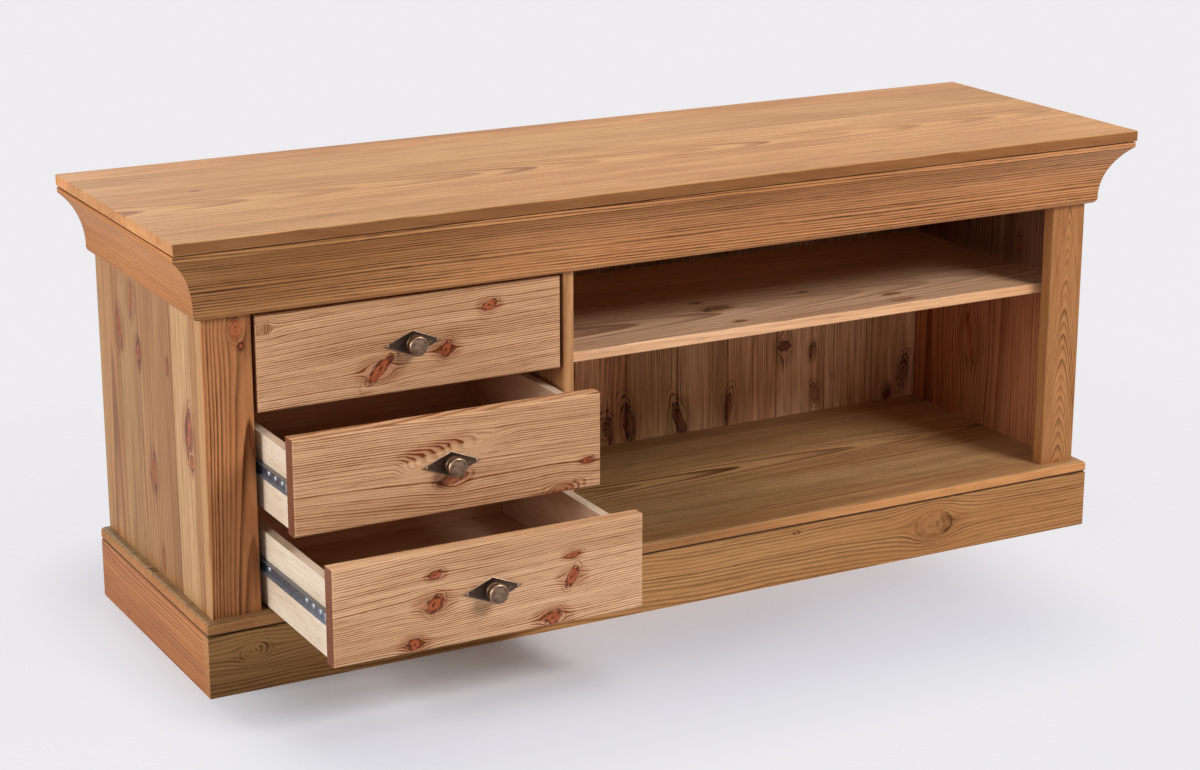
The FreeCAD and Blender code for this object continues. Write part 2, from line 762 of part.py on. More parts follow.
def build_ball_cages(name, level, out):
    """A drawer's two ball cages, each ball a six sided roller. They follow at half its travel."""
    cages = new_body(f"ball_cages_{name}")
    section = both_ways([("cage_web", "cage_low"), ("cage_edge", "cage_low"),
                         ("cage_edge", "cage_high"), ("cage_out", "cage_high")])
    pad(cages, "XZ_Plane", "cage_front", "cage_end", [section])
    upper_ball = [("ball_y2", "ball_low"), ("ball_y3", "ball_low"), ("ball_y4", "ball_rise"),
                  ("ball_y3", "ball_high"), ("ball_y2", "ball_high"), ("ball_y1", "ball_rise")]
    lower_ball = [(along, flip(up, -1)) for along, up in upper_ball]
    balls = pad(cages, "YZ_Plane", "ball_inner", "ball_outer", [upper_ball, lower_ball])
    repeat(cages, balls, "Y_Axis", "ball_pitch", "ball_count")
    mirror_across(cages)
    place(cages, "bay_centre", f"({out}) / 2" if out != "0" else out, f"{level} + runner_rise")


# Drawers, drawn closed, across from the middle of the bay and up from the lower edge of the front

SCREW_HOLE = [("0", "knob_level", "bore_radius")]


def build_box(name, level, out):
    front = board(f"drawer_{name}_front", "-front_half", "front_half", "face", "front_back",
                  "0", "front_height")
    face_y = number("face")
    soften(front, "Fillet", "front_round", lambda p: near(p.y, face_y))
    pocket(front, "XZ_Plane", "face", "front_back", circles=SCREW_HOLE)
    inner = board(f"drawer_{name}_box_front", "-box_in", "box_in", "front_back", "box_front_back",
                  "box_rise", "box_top")
    pocket(inner, "YZ_Plane", "-box_in", "box_in",
           [rectangle("box_groove", "box_front_back", "ply_low", "groove_top")])
    pocket(inner, "XZ_Plane", "front_back", "box_front_back", circles=SCREW_HOLE)
    pieces = [front, inner]
    section = [("box_half", "box_rise"), ("box_half", "box_top"), ("box_in", "box_top"),
               ("box_in", "groove_top"), ("groove_out", "groove_top"), ("groove_out", "ply_low"),
               ("box_in", "ply_low"), ("box_in", "box_rise")]
    for hand, side in (("left", -1), ("right", 1)):
        body = new_body(f"drawer_{name}_side_{hand}")
        pad(body, "XZ_Plane", "front_back", "box_end", [[(flip(x, side), z) for x, z in section]])
        pieces.append(body)
    pieces.append(board(f"drawer_{name}_back", "-box_in", "box_in", "box_back_front", "box_end",
                        "ply_top", "box_top"))
    pieces.append(board(f"drawer_{name}_bottom", "-ply_half", "ply_half", "ply_front", "box_end",
                        "ply_low", "ply_top"))
    for body in pieces:
        place(body, "bay_centre", out, level)


def build_knob(name, level, out):
    plate = new_body(f"drawer_{name}_knob_plate")
    diamond = [("plate_half", "0"), ("0", "plate_tip"), ("-plate_half", "0"), ("0", "-plate_tip")]
    pad(plate, "XZ_Plane", "plate_front", "face", [diamond], [("0", "0", "bore_radius")])
    front_y = number("plate_front")
    soften(plate, "Chamfer", "plate_chamfer", lambda p: near(p.y, front_y) and not near(p.x, 0))
    knob = new_body(f"drawer_{name}_knob")
    revolve(knob, [("bore_radius", "plate_front"), ("knob_collar_radius", "plate_front"),
                   ("knob_collar_radius", "knob_collar"), ("knob_groove_radius", "knob_collar"),
                   ("knob_groove_radius", "knob_groove"), ("knob_radius", "knob_groove"),
                   ("knob_radius", "knob_rim"), ("knob_face_radius", "knob_face"),
                   ("0", "knob_face"), ("0", "bore_end"), ("bore_radius", "bore_end")])
    screw = new_body(f"drawer_{name}_knob_screw")
    revolve(screw, [("0", "screw_head"), ("screw_head_radius", "screw_head"),
                    ("screw_head_radius", "box_front_back"), ("screw_radius", "box_front_back"),
                    ("screw_radius", "screw_tip"), ("0", "screw_tip")])
    for body in (plate, knob, screw):
        place(body, "bay_centre", out, f"{level} + knob_level")


def write_parts():
    doc.recompute()
    for item in doc.Objects:
        if "Invalid" in item.State or "Error" in item.State:
            raise ValueError(f"{item.Label}: {item.State}")
    os.makedirs("parts", exist_ok=True)
    for label, body in nodes.items():
        if body.Shape.isNull() or not body.Shape.isValid():
            raise ValueError(f"{label}: no valid shape")
        body.Shape.exportStep(f"parts/{label}.step")
    print(len(nodes), "parts written")


fill_sheets()
build_plinth()
build_floor()
build_frame()
build_sides()
build_divider()
build_shelf()
build_back()
build_top()
build_crown()
build_cabinet_runners()
for drawer, (drawer_level, drawer_out) in DRAWERS.items():
    build_box(drawer, drawer_level, drawer_out)
    build_knob(drawer, drawer_level, drawer_out)
    build_drawer_runners(drawer, drawer_level, drawer_out)
    build_ball_cages(drawer, drawer_level, drawer_out)
write_parts()
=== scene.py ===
from collections import namedtuple
import math

import bmesh
import bpy
from mathutils import Matrix, Vector


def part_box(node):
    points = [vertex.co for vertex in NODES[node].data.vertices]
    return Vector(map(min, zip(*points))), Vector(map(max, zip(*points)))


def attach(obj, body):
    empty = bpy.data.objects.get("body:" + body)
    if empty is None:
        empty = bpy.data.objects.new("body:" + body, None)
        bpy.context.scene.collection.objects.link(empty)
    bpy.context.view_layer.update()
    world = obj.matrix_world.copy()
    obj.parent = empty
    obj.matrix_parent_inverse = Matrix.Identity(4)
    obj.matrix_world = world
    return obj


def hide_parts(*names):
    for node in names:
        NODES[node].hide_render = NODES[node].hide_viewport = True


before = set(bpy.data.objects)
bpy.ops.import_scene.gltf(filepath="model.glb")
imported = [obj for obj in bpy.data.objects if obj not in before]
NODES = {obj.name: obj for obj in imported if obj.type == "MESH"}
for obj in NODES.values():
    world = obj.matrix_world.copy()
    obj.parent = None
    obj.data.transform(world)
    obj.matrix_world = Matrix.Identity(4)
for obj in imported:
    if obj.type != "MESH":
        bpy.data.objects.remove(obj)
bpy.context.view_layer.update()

# A pine tv stand with three drawers and an open bay. Metres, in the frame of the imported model.
MM = 0.001
DRAWERS = ("upper", "middle", "lower")

# How a board lies: the direction of its grain, the direction across its face, and out of its face.
LYING = ((1, 0, 0), (0, 1, 0), (0, 0, 1))
FACING = ((1, 0, 0), (0, 0, 1), (0, -1, 0))
STANDING = ((0, 0, 1), (1, 0, 0), (0, 1, 0))
STANDING_SIDE = ((0, 0, 1), (0, 1, 0), (-1, 0, 0))
RUNNING_BACK = ((0, 1, 0), (0, 0, 1), (1, 0, 0))


def shade(red, green, blue):
    """A colour as a screen shows it, 0 to 255, as the linear colour that Blender takes."""
    def linear(part):
        part = part / 255
        return part / 12.92 if part <= 0.04045 else ((part + 0.055) / 1.055) ** 2.4
    return (linear(red), linear(green), linear(blue), 1.0)


# Nodes

def is_socket(value):
    return isinstance(value, bpy.types.NodeSocket)


def tree_of(values):
    """The node tree of the first socket among these values."""
    return next(value.id_data for value in values if is_socket(value))


def feed(socket, value):
    """Joins another node's socket to this one, or sets a plain value on it."""
    if is_socket(value):
        socket.id_data.links.new(value, socket)
    else:
        socket.default_value = value


def add_node(kind, feeds, tree=None, **settings):
    """Adds a shader node with these settings and feeds its inputs, given by name or by place.

    It goes into the tree that its feeds come from, or into tree where no feed is a socket."""
    made = (tree or tree_of(feeds.values())).nodes.new("ShaderNode" + kind)
    for name, value in settings.items():
        setattr(made, name, value)
    for key, value in feeds.items():
        feed(made.inputs[key], value)
    return made


def calc(operation, *values):
    return add_node("Math", dict(enumerate(values)), operation=operation).outputs[0]


def plus(first, *others):
    for other in others:
        first = calc("ADD", first, other)
    return first


def minus(*values):
    return calc("SUBTRACT", *values)


def times(first, *others):
    for other in others:
        first = calc("MULTIPLY", first, other)
    return first


def times_plus(*values):
    """The first value times the second, plus the third."""
    return calc("MULTIPLY_ADD", *values)


def piled(base, *shares):
    """Adds to base each mask times its share."""
    for mask, share in shares:
        base = times_plus(mask, share, base)
    return base


def divided(*values):
    return calc("DIVIDE", *values)


def larger(*values):
    return calc("MAXIMUM", *values)


def noise(place, steps=None, detail=2.0, rough=0.5):
    """Soft noise, with so many steps to the metre along, across and into the board."""
    if steps is not None:
        place = add_node("VectorMath", {0: place, 1: steps}, operation="MULTIPLY").outputs[0]
    feeds = {"Vector": place, "Scale": 1.0, "Detail": detail, "Roughness": rough}
    return add_node("TexNoise", feeds).outputs[0]


def ramp(value, low, high, start=0.0, end=1.0):
    """A soft step from start to end while value goes from low to high."""
    feeds = dict(enumerate((value, low, high, start, end)))
    return add_node("MapRange", feeds, interpolation_type="SMOOTHSTEP").outputs[0]


def band(value, low, high, last, full):
    """A soft band: it rises while value goes from low to high, and is gone again from full to last."""
    return times(ramp(value, low, high), ramp(value, last, full))


def squares(one, other):
    return times_plus(one, one, times(other, other))


def tint(amount, under, over, way="MIX"):
    feeds = {0: amount, 6: under, 7: over}
    return add_node("Mix", feeds, data_type="RGBA", blend_type=way).outputs[2]


def multiplied(amount, under, over):
    """Multiplies a colour by another: the wood's own tints, and also painted shade and painted light."""
    return tint(amount, under, over, "MULTIPLY")


def object_place(tree):
    return tree.nodes.new("ShaderNodeTexCoord").outputs["Object"]


def parts_of(place):
    return add_node("SeparateXYZ", {0: place}).outputs


def joined(along, across, depth):
    return add_node("CombineXYZ", {0: along, 1: across, 2: depth}).outputs[0]


def deepen(light):
    """A light level as a tint: wood that is darker is redder too."""
    green = calc("POWER", light, 1.35)
    blue = calc("POWER", light, 1.75)
    return joined(light, green, blue)


def add_socket(group, label, way):
    kind = "Float"
    if label == "Place":
        kind = "Vector"
    elif label in ("Color", "Early", "Late", "Knot", "Dark"):
        kind = "Color"
    group.interface.new_socket(label, in_out=way, socket_type="NodeSocket" + kind)


def open_group(name, takes):
    """Starts a node group that takes these inputs, and returns their sockets."""
    group = bpy.data.node_groups.new(name, "ShaderNodeTree")
    for label in takes.split(", "):
        add_socket(group, label, "INPUT")
    return group.nodes.new("NodeGroupInput").outputs


def give(**results):
    """Ends a node group: makes an output for each result and joins the result to it."""
    group = tree_of(results.values())
    for label in results:
        add_socket(group, label, "OUTPUT")
    outputs = group.nodes.new("NodeGroupOutput").inputs
    for label, value in results.items():
        feed(outputs[label], value)
    return group


def use_group(group, feeds):
    made = tree_of(feeds.values()).nodes.new("ShaderNodeGroup")
    made.node_tree = group
    for key, value in feeds.items():
        feed(made.inputs[key], value)
    return made.outputs


# Wood

def make_staves():
    """A panel glued up from staves: each stave takes its own stretch of the tree and its own tone."""
    given = open_group("glued staves", "Place, Width, Seed")
    along, across, depth = parts_of(given["Place"])
    count = plus(divided(across, given["Width"]), 0.5)
    number = plus(calc("FLOOR", count), given["Seed"])
    chance = add_node("TexWhiteNoise", {"W": number}, noise_dimensions="1D")
    first, second, third = add_node("SeparateColor", {0: chance.outputs["Color"]}).outputs
    along = times_plus(first, 6.0, along)
    across = times_plus(minus(second, 0.5), 0.30, across)
    depth = times_plus(minus(third, 0.5), 0.10, depth)
    to_seam = times(calc("PINGPONG", count, 0.5), given["Width"])
    return give(Place=joined(along, across, depth), Tone=chance.outputs["Value"], Hue=second,
                Seam=ramp(to_seam, 0.7 * MM, 0.1 * MM))


def make_knot():
    """One knot: bends the grain round itself, and adds its heart, dark parts, bark, arcs and stained halo."""
    given = open_group("pine knot", "Place, Bend, Heart, Grow, Bark, Arcs, Halo, Along, Across, "
                                    "Length, Width, Lean, Pull, Red, Spread")
    red = given["Red"]
    along, across = parts_of(given["Place"])[:2]
    along = minus(along, given["Along"])
    across = minus(across, given["Across"])
    cosine = calc("COSINE", given["Lean"])
    sine = calc("SINE", given["Lean"])
    ahead = times_plus(along, cosine, times(across, sine))
    ahead = divided(ahead, given["Length"])
    aside = times(along, sine)
    aside = minus(times(across, cosine), aside)
    aside = divided(aside, given["Width"])
    # Each knot has its own uneven outline, drawn in its own size.
    number = times(given["Along"], 90.0)
    own = joined(ahead, aside, number)
    wobble = minus(noise(own, (1.2, 1.2, 1)), 0.5)
    broken = noise(own, (2.1, 2.1, 1.7))
    round_reach = calc("SQRT", squares(ahead, aside))
    reach = times_plus(wobble, 0.9, round_reach)
    heart = times(ramp(reach, 1.05, 0.85), red)
    year = calc("PINGPONG", times(reach, 3.2), 0.5)
    dark = plus(ramp(reach, 0.45, 0.05, 0.0, 0.7), ramp(reach, 0.5, 0.95, 0.0, 0.7),
                ramp(broken, 0.42, 0.68, -0.2, 0.4), ramp(year, 0.2, 0.42, 0.0, 0.4))
    bark = times(band(reach, 0.78, 0.94, 1.2, 1.02), ramp(broken, 0.36, 0.54), red)
    # Dark arcs lie along the knot's length like ripples, stronger at one end.
    before = divided(ahead, larger(round_reach, 0.01))
    before = plus(ramp(before, 0.5, 0.85), ramp(before, -0.5, -0.85, 0.0, 0.6))
    ripple = times_plus(round_reach, 2.1, wobble)
    arcs = times(ramp(calc("PINGPONG", ripple, 0.5), 0.2, 0.42), before,
                 ramp(round_reach, given["Spread"], 1.0), ramp(broken, 0.3, 0.55, 0.35, 1.0))
    # The grain parts round the knot as a stream round a stone, longer along the grain than across it.
    stone = larger(given["Width"], times(given["Length"], 0.45))
    upstream = divided(along, times(stone, 1.7))
    sideways = divided(across, stone)
    far = squares(upstream, sideways)
    halo = times(ramp(far, 6.0, 0.8), red)
    far = larger(far, given["Pull"])
    push = divided(times(across, given["Pull"]), far)
    return give(
        Bend=minus(given["Bend"], push),
        Heart=larger(given["Heart"], heart),
        Grow=larger(given["Grow"], times(dark, heart)),
        Bark=larger(given["Bark"], bark),
        Arcs=larger(given["Arcs"], arcs),
        Halo=larger(given["Halo"], halo))


def make_feather():
    """Grain that runs along the board and turns down, dark, at a slanting line beside a knot."""
    given = open_group("feather figure", "Place, Bend, Halo, Along, Across, Length, Slope")
    along, across = parts_of(given["Place"])[:2]
    ahead = minus(along, given["Along"])
    edge = times_plus(ahead, given["Slope"], given["Across"])
    uneven = minus(noise(given["Place"], (60, 60, 60)), 0.5)
    edge = times_plus(uneven, 6 * MM, edge)
    under = minus(edge, across)
    share = divided(ahead, given["Length"])
    window = band(share, -0.25, 0.05, 1.7, 0.9)
    turn = calc("SMOOTH_MAX", under, 0.0, 12 * MM)
    turn = times(turn, ramp(under, 30 * MM, 12 * MM))
    near = band(under, -17 * MM, -2 * MM, 9 * MM, 3 * MM)
    near = times(near, ramp(share, 1.15, 0.6), window)
    calm = band(under, 3 * MM, 10 * MM, 38 * MM, 26 * MM)
    return give(Bend=times_plus(turn, window, given["Bend"]),
                Halo=larger(given["Halo"], near), Calm=times(calm, window))


def make_rings():
    """Growth rings cut by the board's faces: rings round the tree's heart, which lies beside the board."""
    given = open_group("pine rings", "Place, Bend, Heart Across, Heart Depth, Ring, Wander, Taper, "
                                     "Tilt, Streak, Seed")
    along, across, depth = parts_of(given["Place"])
    start = times_plus(given["Seed"], 3.7, along)
    place = joined(start, across, depth)
    slow = minus(noise(place, (2, 7, 7)), 0.5)
    quick = minus(noise(place, (16, 60, 60)), 0.5)
    hair = minus(noise(place, (70, 500, 500)), 0.5)
    across = minus(plus(across, given["Bend"]), given["Heart Across"])
    across = piled(across, (slow, times(given["Wander"], 2.0)), (quick, 1.6 * MM), (hair, 0.9 * MM))
    depth = minus(depth, given["Heart Depth"])
    depth = piled(depth, (slow, given["Wander"]), (along, given["Tilt"]))
    radius = calc("SQRT", squares(across, depth))
    radius = times_plus(along, given["Taper"], radius)
    years = divided(radius, given["Ring"])
    season = joined(times(years, 0.2), given["Seed"], 0.0)
    years = times_plus(noise(season, detail=1.0), 2.6, years)
    part = calc("FRACT", years)
    late = band(part, 0.25, 0.85, 1.0, 0.9)
    year = plus(calc("FLOOR", years), given["Seed"])
    weight = add_node("TexWhiteNoise", {"W": year}, noise_dimensions="1D").outputs["Value"]
    weight = ramp(weight, 0.0, 1.0, 0.5, 1.1)
    patch = noise(place, (5, 30, 30))
    weight = times(weight, ramp(patch, 0.25, 0.65, 0.65, 1.05))
    fibre = noise(place, (16, 560, 560), 3.0, 0.6)
    dash = noise(place, (24, 330, 330))
    cloud = noise(place, (1.3, 9, 9), 3.0, 0.55)
    streak = noise(place, joined(7.0, given["Streak"], given["Streak"]), 3.0, 0.6)
    tone = times_plus(streak, 0.55, times(cloud, 0.75))
    return give(Line=times(late, weight), Fibre=fibre, Dash=ramp(dash, 0.54, 0.7), Tone=minus(tone, 0.15))


def make_pine():
    """Oiled pine from its masks: pale early wood, brown late wood, reddish knots with dark bark."""
    given = open_group("oiled pine", "Line, Fibre, Dash, Tone, Mottle, Heart, Grow, Bark, Arcs, Halo, "
                                     "Seam, Early, Late, Knot, Dark")
    fleck = minus(given["Fibre"], 0.5)
    deeper = times_plus(given["Halo"], 0.5, 1.0)
    line = piled(times(given["Line"], deeper), (fleck, 0.6), (given["Dash"], 0.22),
                 (given["Arcs"], 0.8), (given["Halo"], 0.06))
    line = calc("MINIMUM", larger(line, 0.0), 1.0)
    colour = tint(line, given["Early"], given["Late"])
    light = ramp(given["Tone"], 0.25, 0.75, -0.20, 0.16)
    light = piled(1.0, (light, given["Mottle"]), (fleck, 0.22))
    colour = multiplied(1.0, colour, deepen(light))
    colour = multiplied(times(given["Halo"], 0.35), colour, given["Knot"])
    knot = tint(times(given["Grow"], 0.85), given["Knot"], given["Dark"])
    colour = tint(times(given["Heart"], 0.92), colour, knot)
    colour = tint(times(given["Bark"], 0.85), colour, given["Dark"])
    colour = multiplied(times(given["Seam"], 0.35), colour, given["Late"])
    rough = piled(0.5, (line, -0.1), (fleck, 0.16))
    height = times_plus(given["Fibre"], 0.35, times(given["Line"], 0.5))
    height = minus(height, times(given["Bark"], 0.6))
    height = minus(height, times(given["Seam"], 0.8))
    return give(Color=colour, Roughness=rough, Height=height)


STAVES = make_staves()
KNOT = make_knot()
FEATHER = make_feather()
RINGS = make_rings()
PINE = make_pine()


def new_material(name, plain):
    """An empty material with its shader and that shader's tree. plain is what is the same all over."""
    material = bpy.data.materials.new(name)
    material.use_nodes = True
    tree = material.node_tree
    tree.nodes.clear()
    shader = tree.nodes.new("ShaderNodeBsdfPrincipled")
    for label, value in plain.items():
        shader.inputs[label].default_value = value
    output = tree.nodes.new("ShaderNodeOutputMaterial")
    tree.links.new(shader.outputs[0], output.inputs["Surface"])
    return material, tree, shader


def board_place(tree, lie, centre):
    """Object coordinates turned into a board's own: along its grain, across its face, out of its face."""
    turn = Matrix(lie).transposed().to_euler()
    feeds = {"Vector": object_place(tree), "Location": centre, "Rotation": turn}
    return add_node("Mapping", feeds, vector_type="TEXTURE").outputs[0]


def facing(tree, axis):
    """How far a face looks along an axis: picks out one side of a board."""
    normal = tree.nodes.new("ShaderNodeTexCoord").outputs["Normal"]
    return add_node("VectorMath", {0: normal, 1: axis}, operation="DOT_PRODUCT").outputs["Value"]


def squarely(tree, axis):
    """How squarely a face meets an axis, either way: picks out a board's ends or its edges."""
    return ramp(calc("ABSOLUTE", facing(tree, axis)), 0.6, 0.9)


def wear_finish(shader, finish, bump=0.0, colour=None):
    """Joins a finish group's results to the shader, with a bump in mm and perhaps another colour."""
    feed(shader.inputs["Base Color"], finish["Color"] if colour is None else colour)
    feed(shader.inputs["Roughness"], finish["Roughness"])
    if bump:
        feeds = {"Height": finish["Height"], "Distance": bump * MM}
        feed(shader.inputs["Normal"], add_node("Bump", feeds).outputs[0])


def middle_of(node):
    low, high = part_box(node)
    return (low + high) / 2


Knot = namedtuple("Knot", "along across length width lean pull red spread", defaults=(2.4,))
KNOT_RED = (shade(186, 95, 55), shade(80, 29, 15))
KNOT_DARK = (shade(126, 64, 38), shade(40, 18, 10))
KNOT_RINGED = (shade(178, 114, 76), shade(46, 22, 14))
KNOT_PLAIN = (shade(196, 138, 86), shade(118, 70, 36))

# How much of the grain's lines is left under a feather, on end grain and on the long edges.
FEATHER_LINES = 0.45
END_LINES = 0.35
EDGE_LINES = 0.2
# The painted shade beside a joint, in mm to each side, and the heights from a board's middle at which
# the painted shade above the shelf falls.
JOINT_SHADE_HALF = 2.3
JOINT_SHADE_CORE = 1.0
SHELF_SHADE_STARTS = 12
SHELF_SHADE_FULL = 40


def pine_board(node, lie, colours, seed, heart=(0, -60), ring=4.4, wander=6, taper=0.01, tilt=0.0,
               streak=150, lines=1.0, knots=(), knot=KNOT_RED, feather=None, staves=0, tones=(0.9, 1.08),
               mottle=1.0, ends=None, edges=None, shade_fade=None, inside=None, joint=None):
    """Gives one board its own pine. Lengths are in mm.

    The cut: heart is how far the tree's heart lies across and out, ring a year's width, wander how far
    the rings stray, taper and tilt the tree's and the board's slope. The tone: streak is the number of
    streaks to a metre, lines how dark the late wood is, and mottle how cloudy. feather is the start,
    height, length and slope of a feather figure. staves is the width of glued staves, and tones are the
    darkest and the lightest of them. ends is a tint of the end grain, edges are tints of the long edges
    at the board's two ends, painted shade on the top and painted light on the floor panel and the shelf.
    The fading tint is painted shade, given with the two places along the board between which it fades.
    inside is a tint and the way that the inner face looks, painted light on the back, and the inner face
    gets painted shade above the shelf; joint is the height of a joint along which a line of painted shade
    runs."""
    material, tree, shader = new_material(node + "_pine", {"Specular IOR Level": 0.14})
    place = board_place(tree, lie, middle_of(node))
    masks = dict.fromkeys(("Bend", "Heart", "Grow", "Bark", "Arcs", "Halo"), 0.0)
    for row in knots:
        spot = Knot(*row)
        outputs = use_group(KNOT, {
            **masks, "Place": place, "Along": spot.along * MM, "Across": spot.across * MM,
            "Length": spot.length * MM, "Width": spot.width * MM, "Lean": math.radians(spot.lean),
            "Pull": spot.pull, "Red": spot.red, "Spread": spot.spread})
        masks = {mask: outputs[mask] for mask in masks}
    if feather:
        start, height, length, slope = feather
        masks["Bend"], masks["Halo"], calm = use_group(FEATHER, {
            "Place": place, "Bend": masks["Bend"], "Halo": masks["Halo"], "Along": start * MM,
            "Across": height * MM, "Length": length * MM, "Slope": slope})
    bend = masks.pop("Bend")
    grain_place = place
    seam = 0.0
    if staves:
        glued = use_group(STAVES, {"Place": place, "Width": staves * MM, "Seed": seed})
        grain_place = glued["Place"]
        seam = glued["Seam"]
    rings = use_group(RINGS, {
        "Place": grain_place, "Bend": bend, "Heart Across": heart[0] * MM, "Heart Depth": heart[1] * MM,
        "Ring": ring * MM, "Wander": wander * MM, "Taper": taper, "Tilt": tilt, "Streak": streak,
        "Seed": seed})
    line = times(rings["Line"], lines)
    if feather:
        line = times(line, ramp(calm, 0.0, 1.0, 1.0, FEATHER_LINES))
    if ends:
        on_end = squarely(tree, lie[0])
        line = times(line, ramp(on_end, 0.0, 1.0, 1.0, END_LINES))
    if edges:
        on_edge = squarely(tree, lie[1])
        line = times(line, ramp(on_edge, 0.0, 1.0, 1.0, EDGE_LINES))
    pine = use_group(PINE, {
        **masks, "Line": line, "Fibre": rings["Fibre"], "Dash": rings["Dash"], "Tone": rings["Tone"],
        "Mottle": mottle, "Seam": seam, "Early": colours[0], "Late": colours[1], "Knot": knot[0],
        "Dark": knot[1]})
    colour = pine["Color"]
    if staves:
        light = ramp(glued["Tone"], 0.0, 1.0, *tones)
        colour = multiplied(1.0, colour, deepen(light))
        colour = multiplied(1.0, colour, tint(glued["Hue"], REDDER, GREENER))
    along = parts_of(place)[0]
    if ends:
        colour = multiplied(on_end, colour, ends)
    # Tints of the long edges: painted shade on the top's, painted light on the floor panel's and the shelf's.
    if edges:
        low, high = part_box(node)
        half = max(high - low) / 2
        colour = multiplied(on_edge, colour, tint(ramp(along, -half, half), *edges))
    # Painted shade that fades out along the board.
    if shade_fade:
        tone, full, gone = shade_fade
        colour = multiplied(ramp(along, full * MM, gone * MM, 1.0, 0.0), colour, tone)
    # The inner face's tint, which is painted light on the back's inner face.
    if inside:
        tone, way = inside
        inner = ramp(facing(tree, way), 0.6, 0.9)
        colour = multiplied(inner, colour, tone)
        # Painted shade on the inner face above the shelf.
        above = times(inner, ramp(along, SHELF_SHADE_STARTS * MM, SHELF_SHADE_FULL * MM))
        colour = multiplied(above, colour, SHELF_SHADE)
    # Painted shade: a dark line along the groove of the joint.
    if joint:
        up = parts_of(object_place(tree))[2]
        gap = calc("ABSOLUTE", minus(up, joint * MM))
        colour = multiplied(ramp(gap, JOINT_SHADE_HALF * MM, JOINT_SHADE_CORE * MM, 0.0, 0.85), colour, JOINT_SHADE)
    wear_finish(shader, pine, bump=0.1, colour=colour)
    dress(node, material)


def dress(node, material):
    """Gives a CAD node a finish in place of its plain one."""
    for slot in NODES[node].material_slots:
        slot.material = material


# Plywood and metal

# Painted shade that makes the inner faces of the drawer boxes darker and browner.
PLY_INSIDE_SHADE = (0.82, 0.62, 0.53, 1.0)


def make_ply():
    """Birch plywood: pale veneer outside, browner inside the box by painted shade, light and dark layers on
    its edges.
    """
    given = open_group("birch ply", "Place, Half, Layer, Inside")
    depth = parts_of(given["Place"])[2]
    inner = divided(times(depth, given["Inside"]), given["Half"])
    depth = times_plus(depth, 0.99, given["Half"])
    layer = calc("FLOOR", divided(depth, given["Layer"]))
    dark = calc("MODULO", layer, 2.0)
    cloud = noise(given["Place"], (5, 26, 26), 3.0)
    fibre = noise(given["Place"], (26, 480, 480), 3.0, 0.6)
    colour = tint(ramp(cloud, 0.3, 0.7), shade(238, 221, 198), shade(225, 203, 176))
    colour = tint(ramp(fibre, 0.42, 0.72, 0.0, 0.5), colour, shade(190, 156, 122))
    colour = tint(times(dark, 0.5), colour, shade(186, 146, 112))
    # Painted shade on the faces inside the box.
    colour = multiplied(ramp(inner, 0.97, 0.99), colour, PLY_INSIDE_SHADE)
    return give(Color=colour, Roughness=ramp(fibre, 0.3, 0.7, 0.45, 0.6),
                Height=times_plus(dark, -0.5, fibre))


def make_zinc():
    """Zinc plated sheet steel: drawn lines along the strip and a faint cloudy bloom."""
    given = open_group("zinc plate", "Place")
    drawn = noise(given["Place"], (900, 14, 900), 3.0, 0.6)
    bloom = noise(given["Place"], (130, 130, 130), 3.0)
    colour = tint(ramp(bloom, 0.3, 0.7), shade(196, 202, 210), shade(214, 219, 226))
    colour = tint(ramp(drawn, 0.45, 0.7, 0.0, 0.25), colour, shade(150, 157, 168))
    return give(Color=colour, Roughness=ramp(bloom, 0.3, 0.7, 0.26, 0.42), Height=drawn)


def make_bronze():
    """Antique bronze: dark patina, worn bright where hands reach it, and on the rims of knobs and plates also
    bright as a painted highlight.
    """
    given = open_group("antique bronze", "Place, Rubbed")
    cloud = noise(given["Place"], (230, 230, 230), 3.0)
    speck = noise(given["Place"], (1300, 1300, 1300))
    uneven = piled(given["Rubbed"], (minus(cloud, 0.5), 0.9), (minus(speck, 0.5), 0.35))
    wear_and_highlight = ramp(uneven, 0.1, 0.95)
    return give(Color=tint(wear_and_highlight, shade(82, 65, 55), shade(166, 137, 112)),
                Roughness=ramp(uneven, 0.1, 0.9, 0.52, 0.28),
                Height=times_plus(speck, 0.4, cloud))


def make_beech():
    """Plain beech: pinkish ground with short brown flecks."""
    given = open_group("plain beech", "Place")
    fleck = noise(given["Place"], (900, 900, 90))
    cloud = noise(given["Place"], (60, 60, 12))
    colour = tint(ramp(cloud, 0.3, 0.7), shade(214, 174, 134), shade(198, 152, 112))
    return give(Color=tint(ramp(fleck, 0.55, 0.75), colour, shade(150, 102, 70)),
                Roughness=ramp(fleck, 0.3, 0.7, 0.5, 0.62))


ZINC_METAL = 0.75
ZINC_BUMP = 0.02
# The heights in mm over a runner's middle at which painted shade starts and covers the upper lip.
LIP_SHADE_STARTS = 3.0
LIP_SHADE_FULL = 6.0
PLY = make_ply()
ZINC = make_zinc()
BRONZE = make_bronze()
BEECH = make_beech()


def ply_board(node, lie, layers, inside):
    """Plywood for one board of a drawer box: its layers, and which way out of its face the inside lies."""
    material, tree, shader = new_material(node + "_ply", {"Specular IOR Level": 0.25})
    low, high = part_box(node)
    thickness = max(abs(part * size) for part, size in zip(lie[2], high - low))
    feeds = {"Place": board_place(tree, lie, middle_of(node)), "Half": thickness / 2,
             "Layer": thickness / layers, "Inside": inside}
    wear_finish(shader, use_group(PLY, feeds), bump=0.08)
    dress(node, material)


def zinc_steel():
    material, tree, shader = new_material("zinc_steel", {"Metallic": ZINC_METAL})
    wear_finish(shader, use_group(ZINC, {"Place": object_place(tree)}), ZINC_BUMP)
    return material


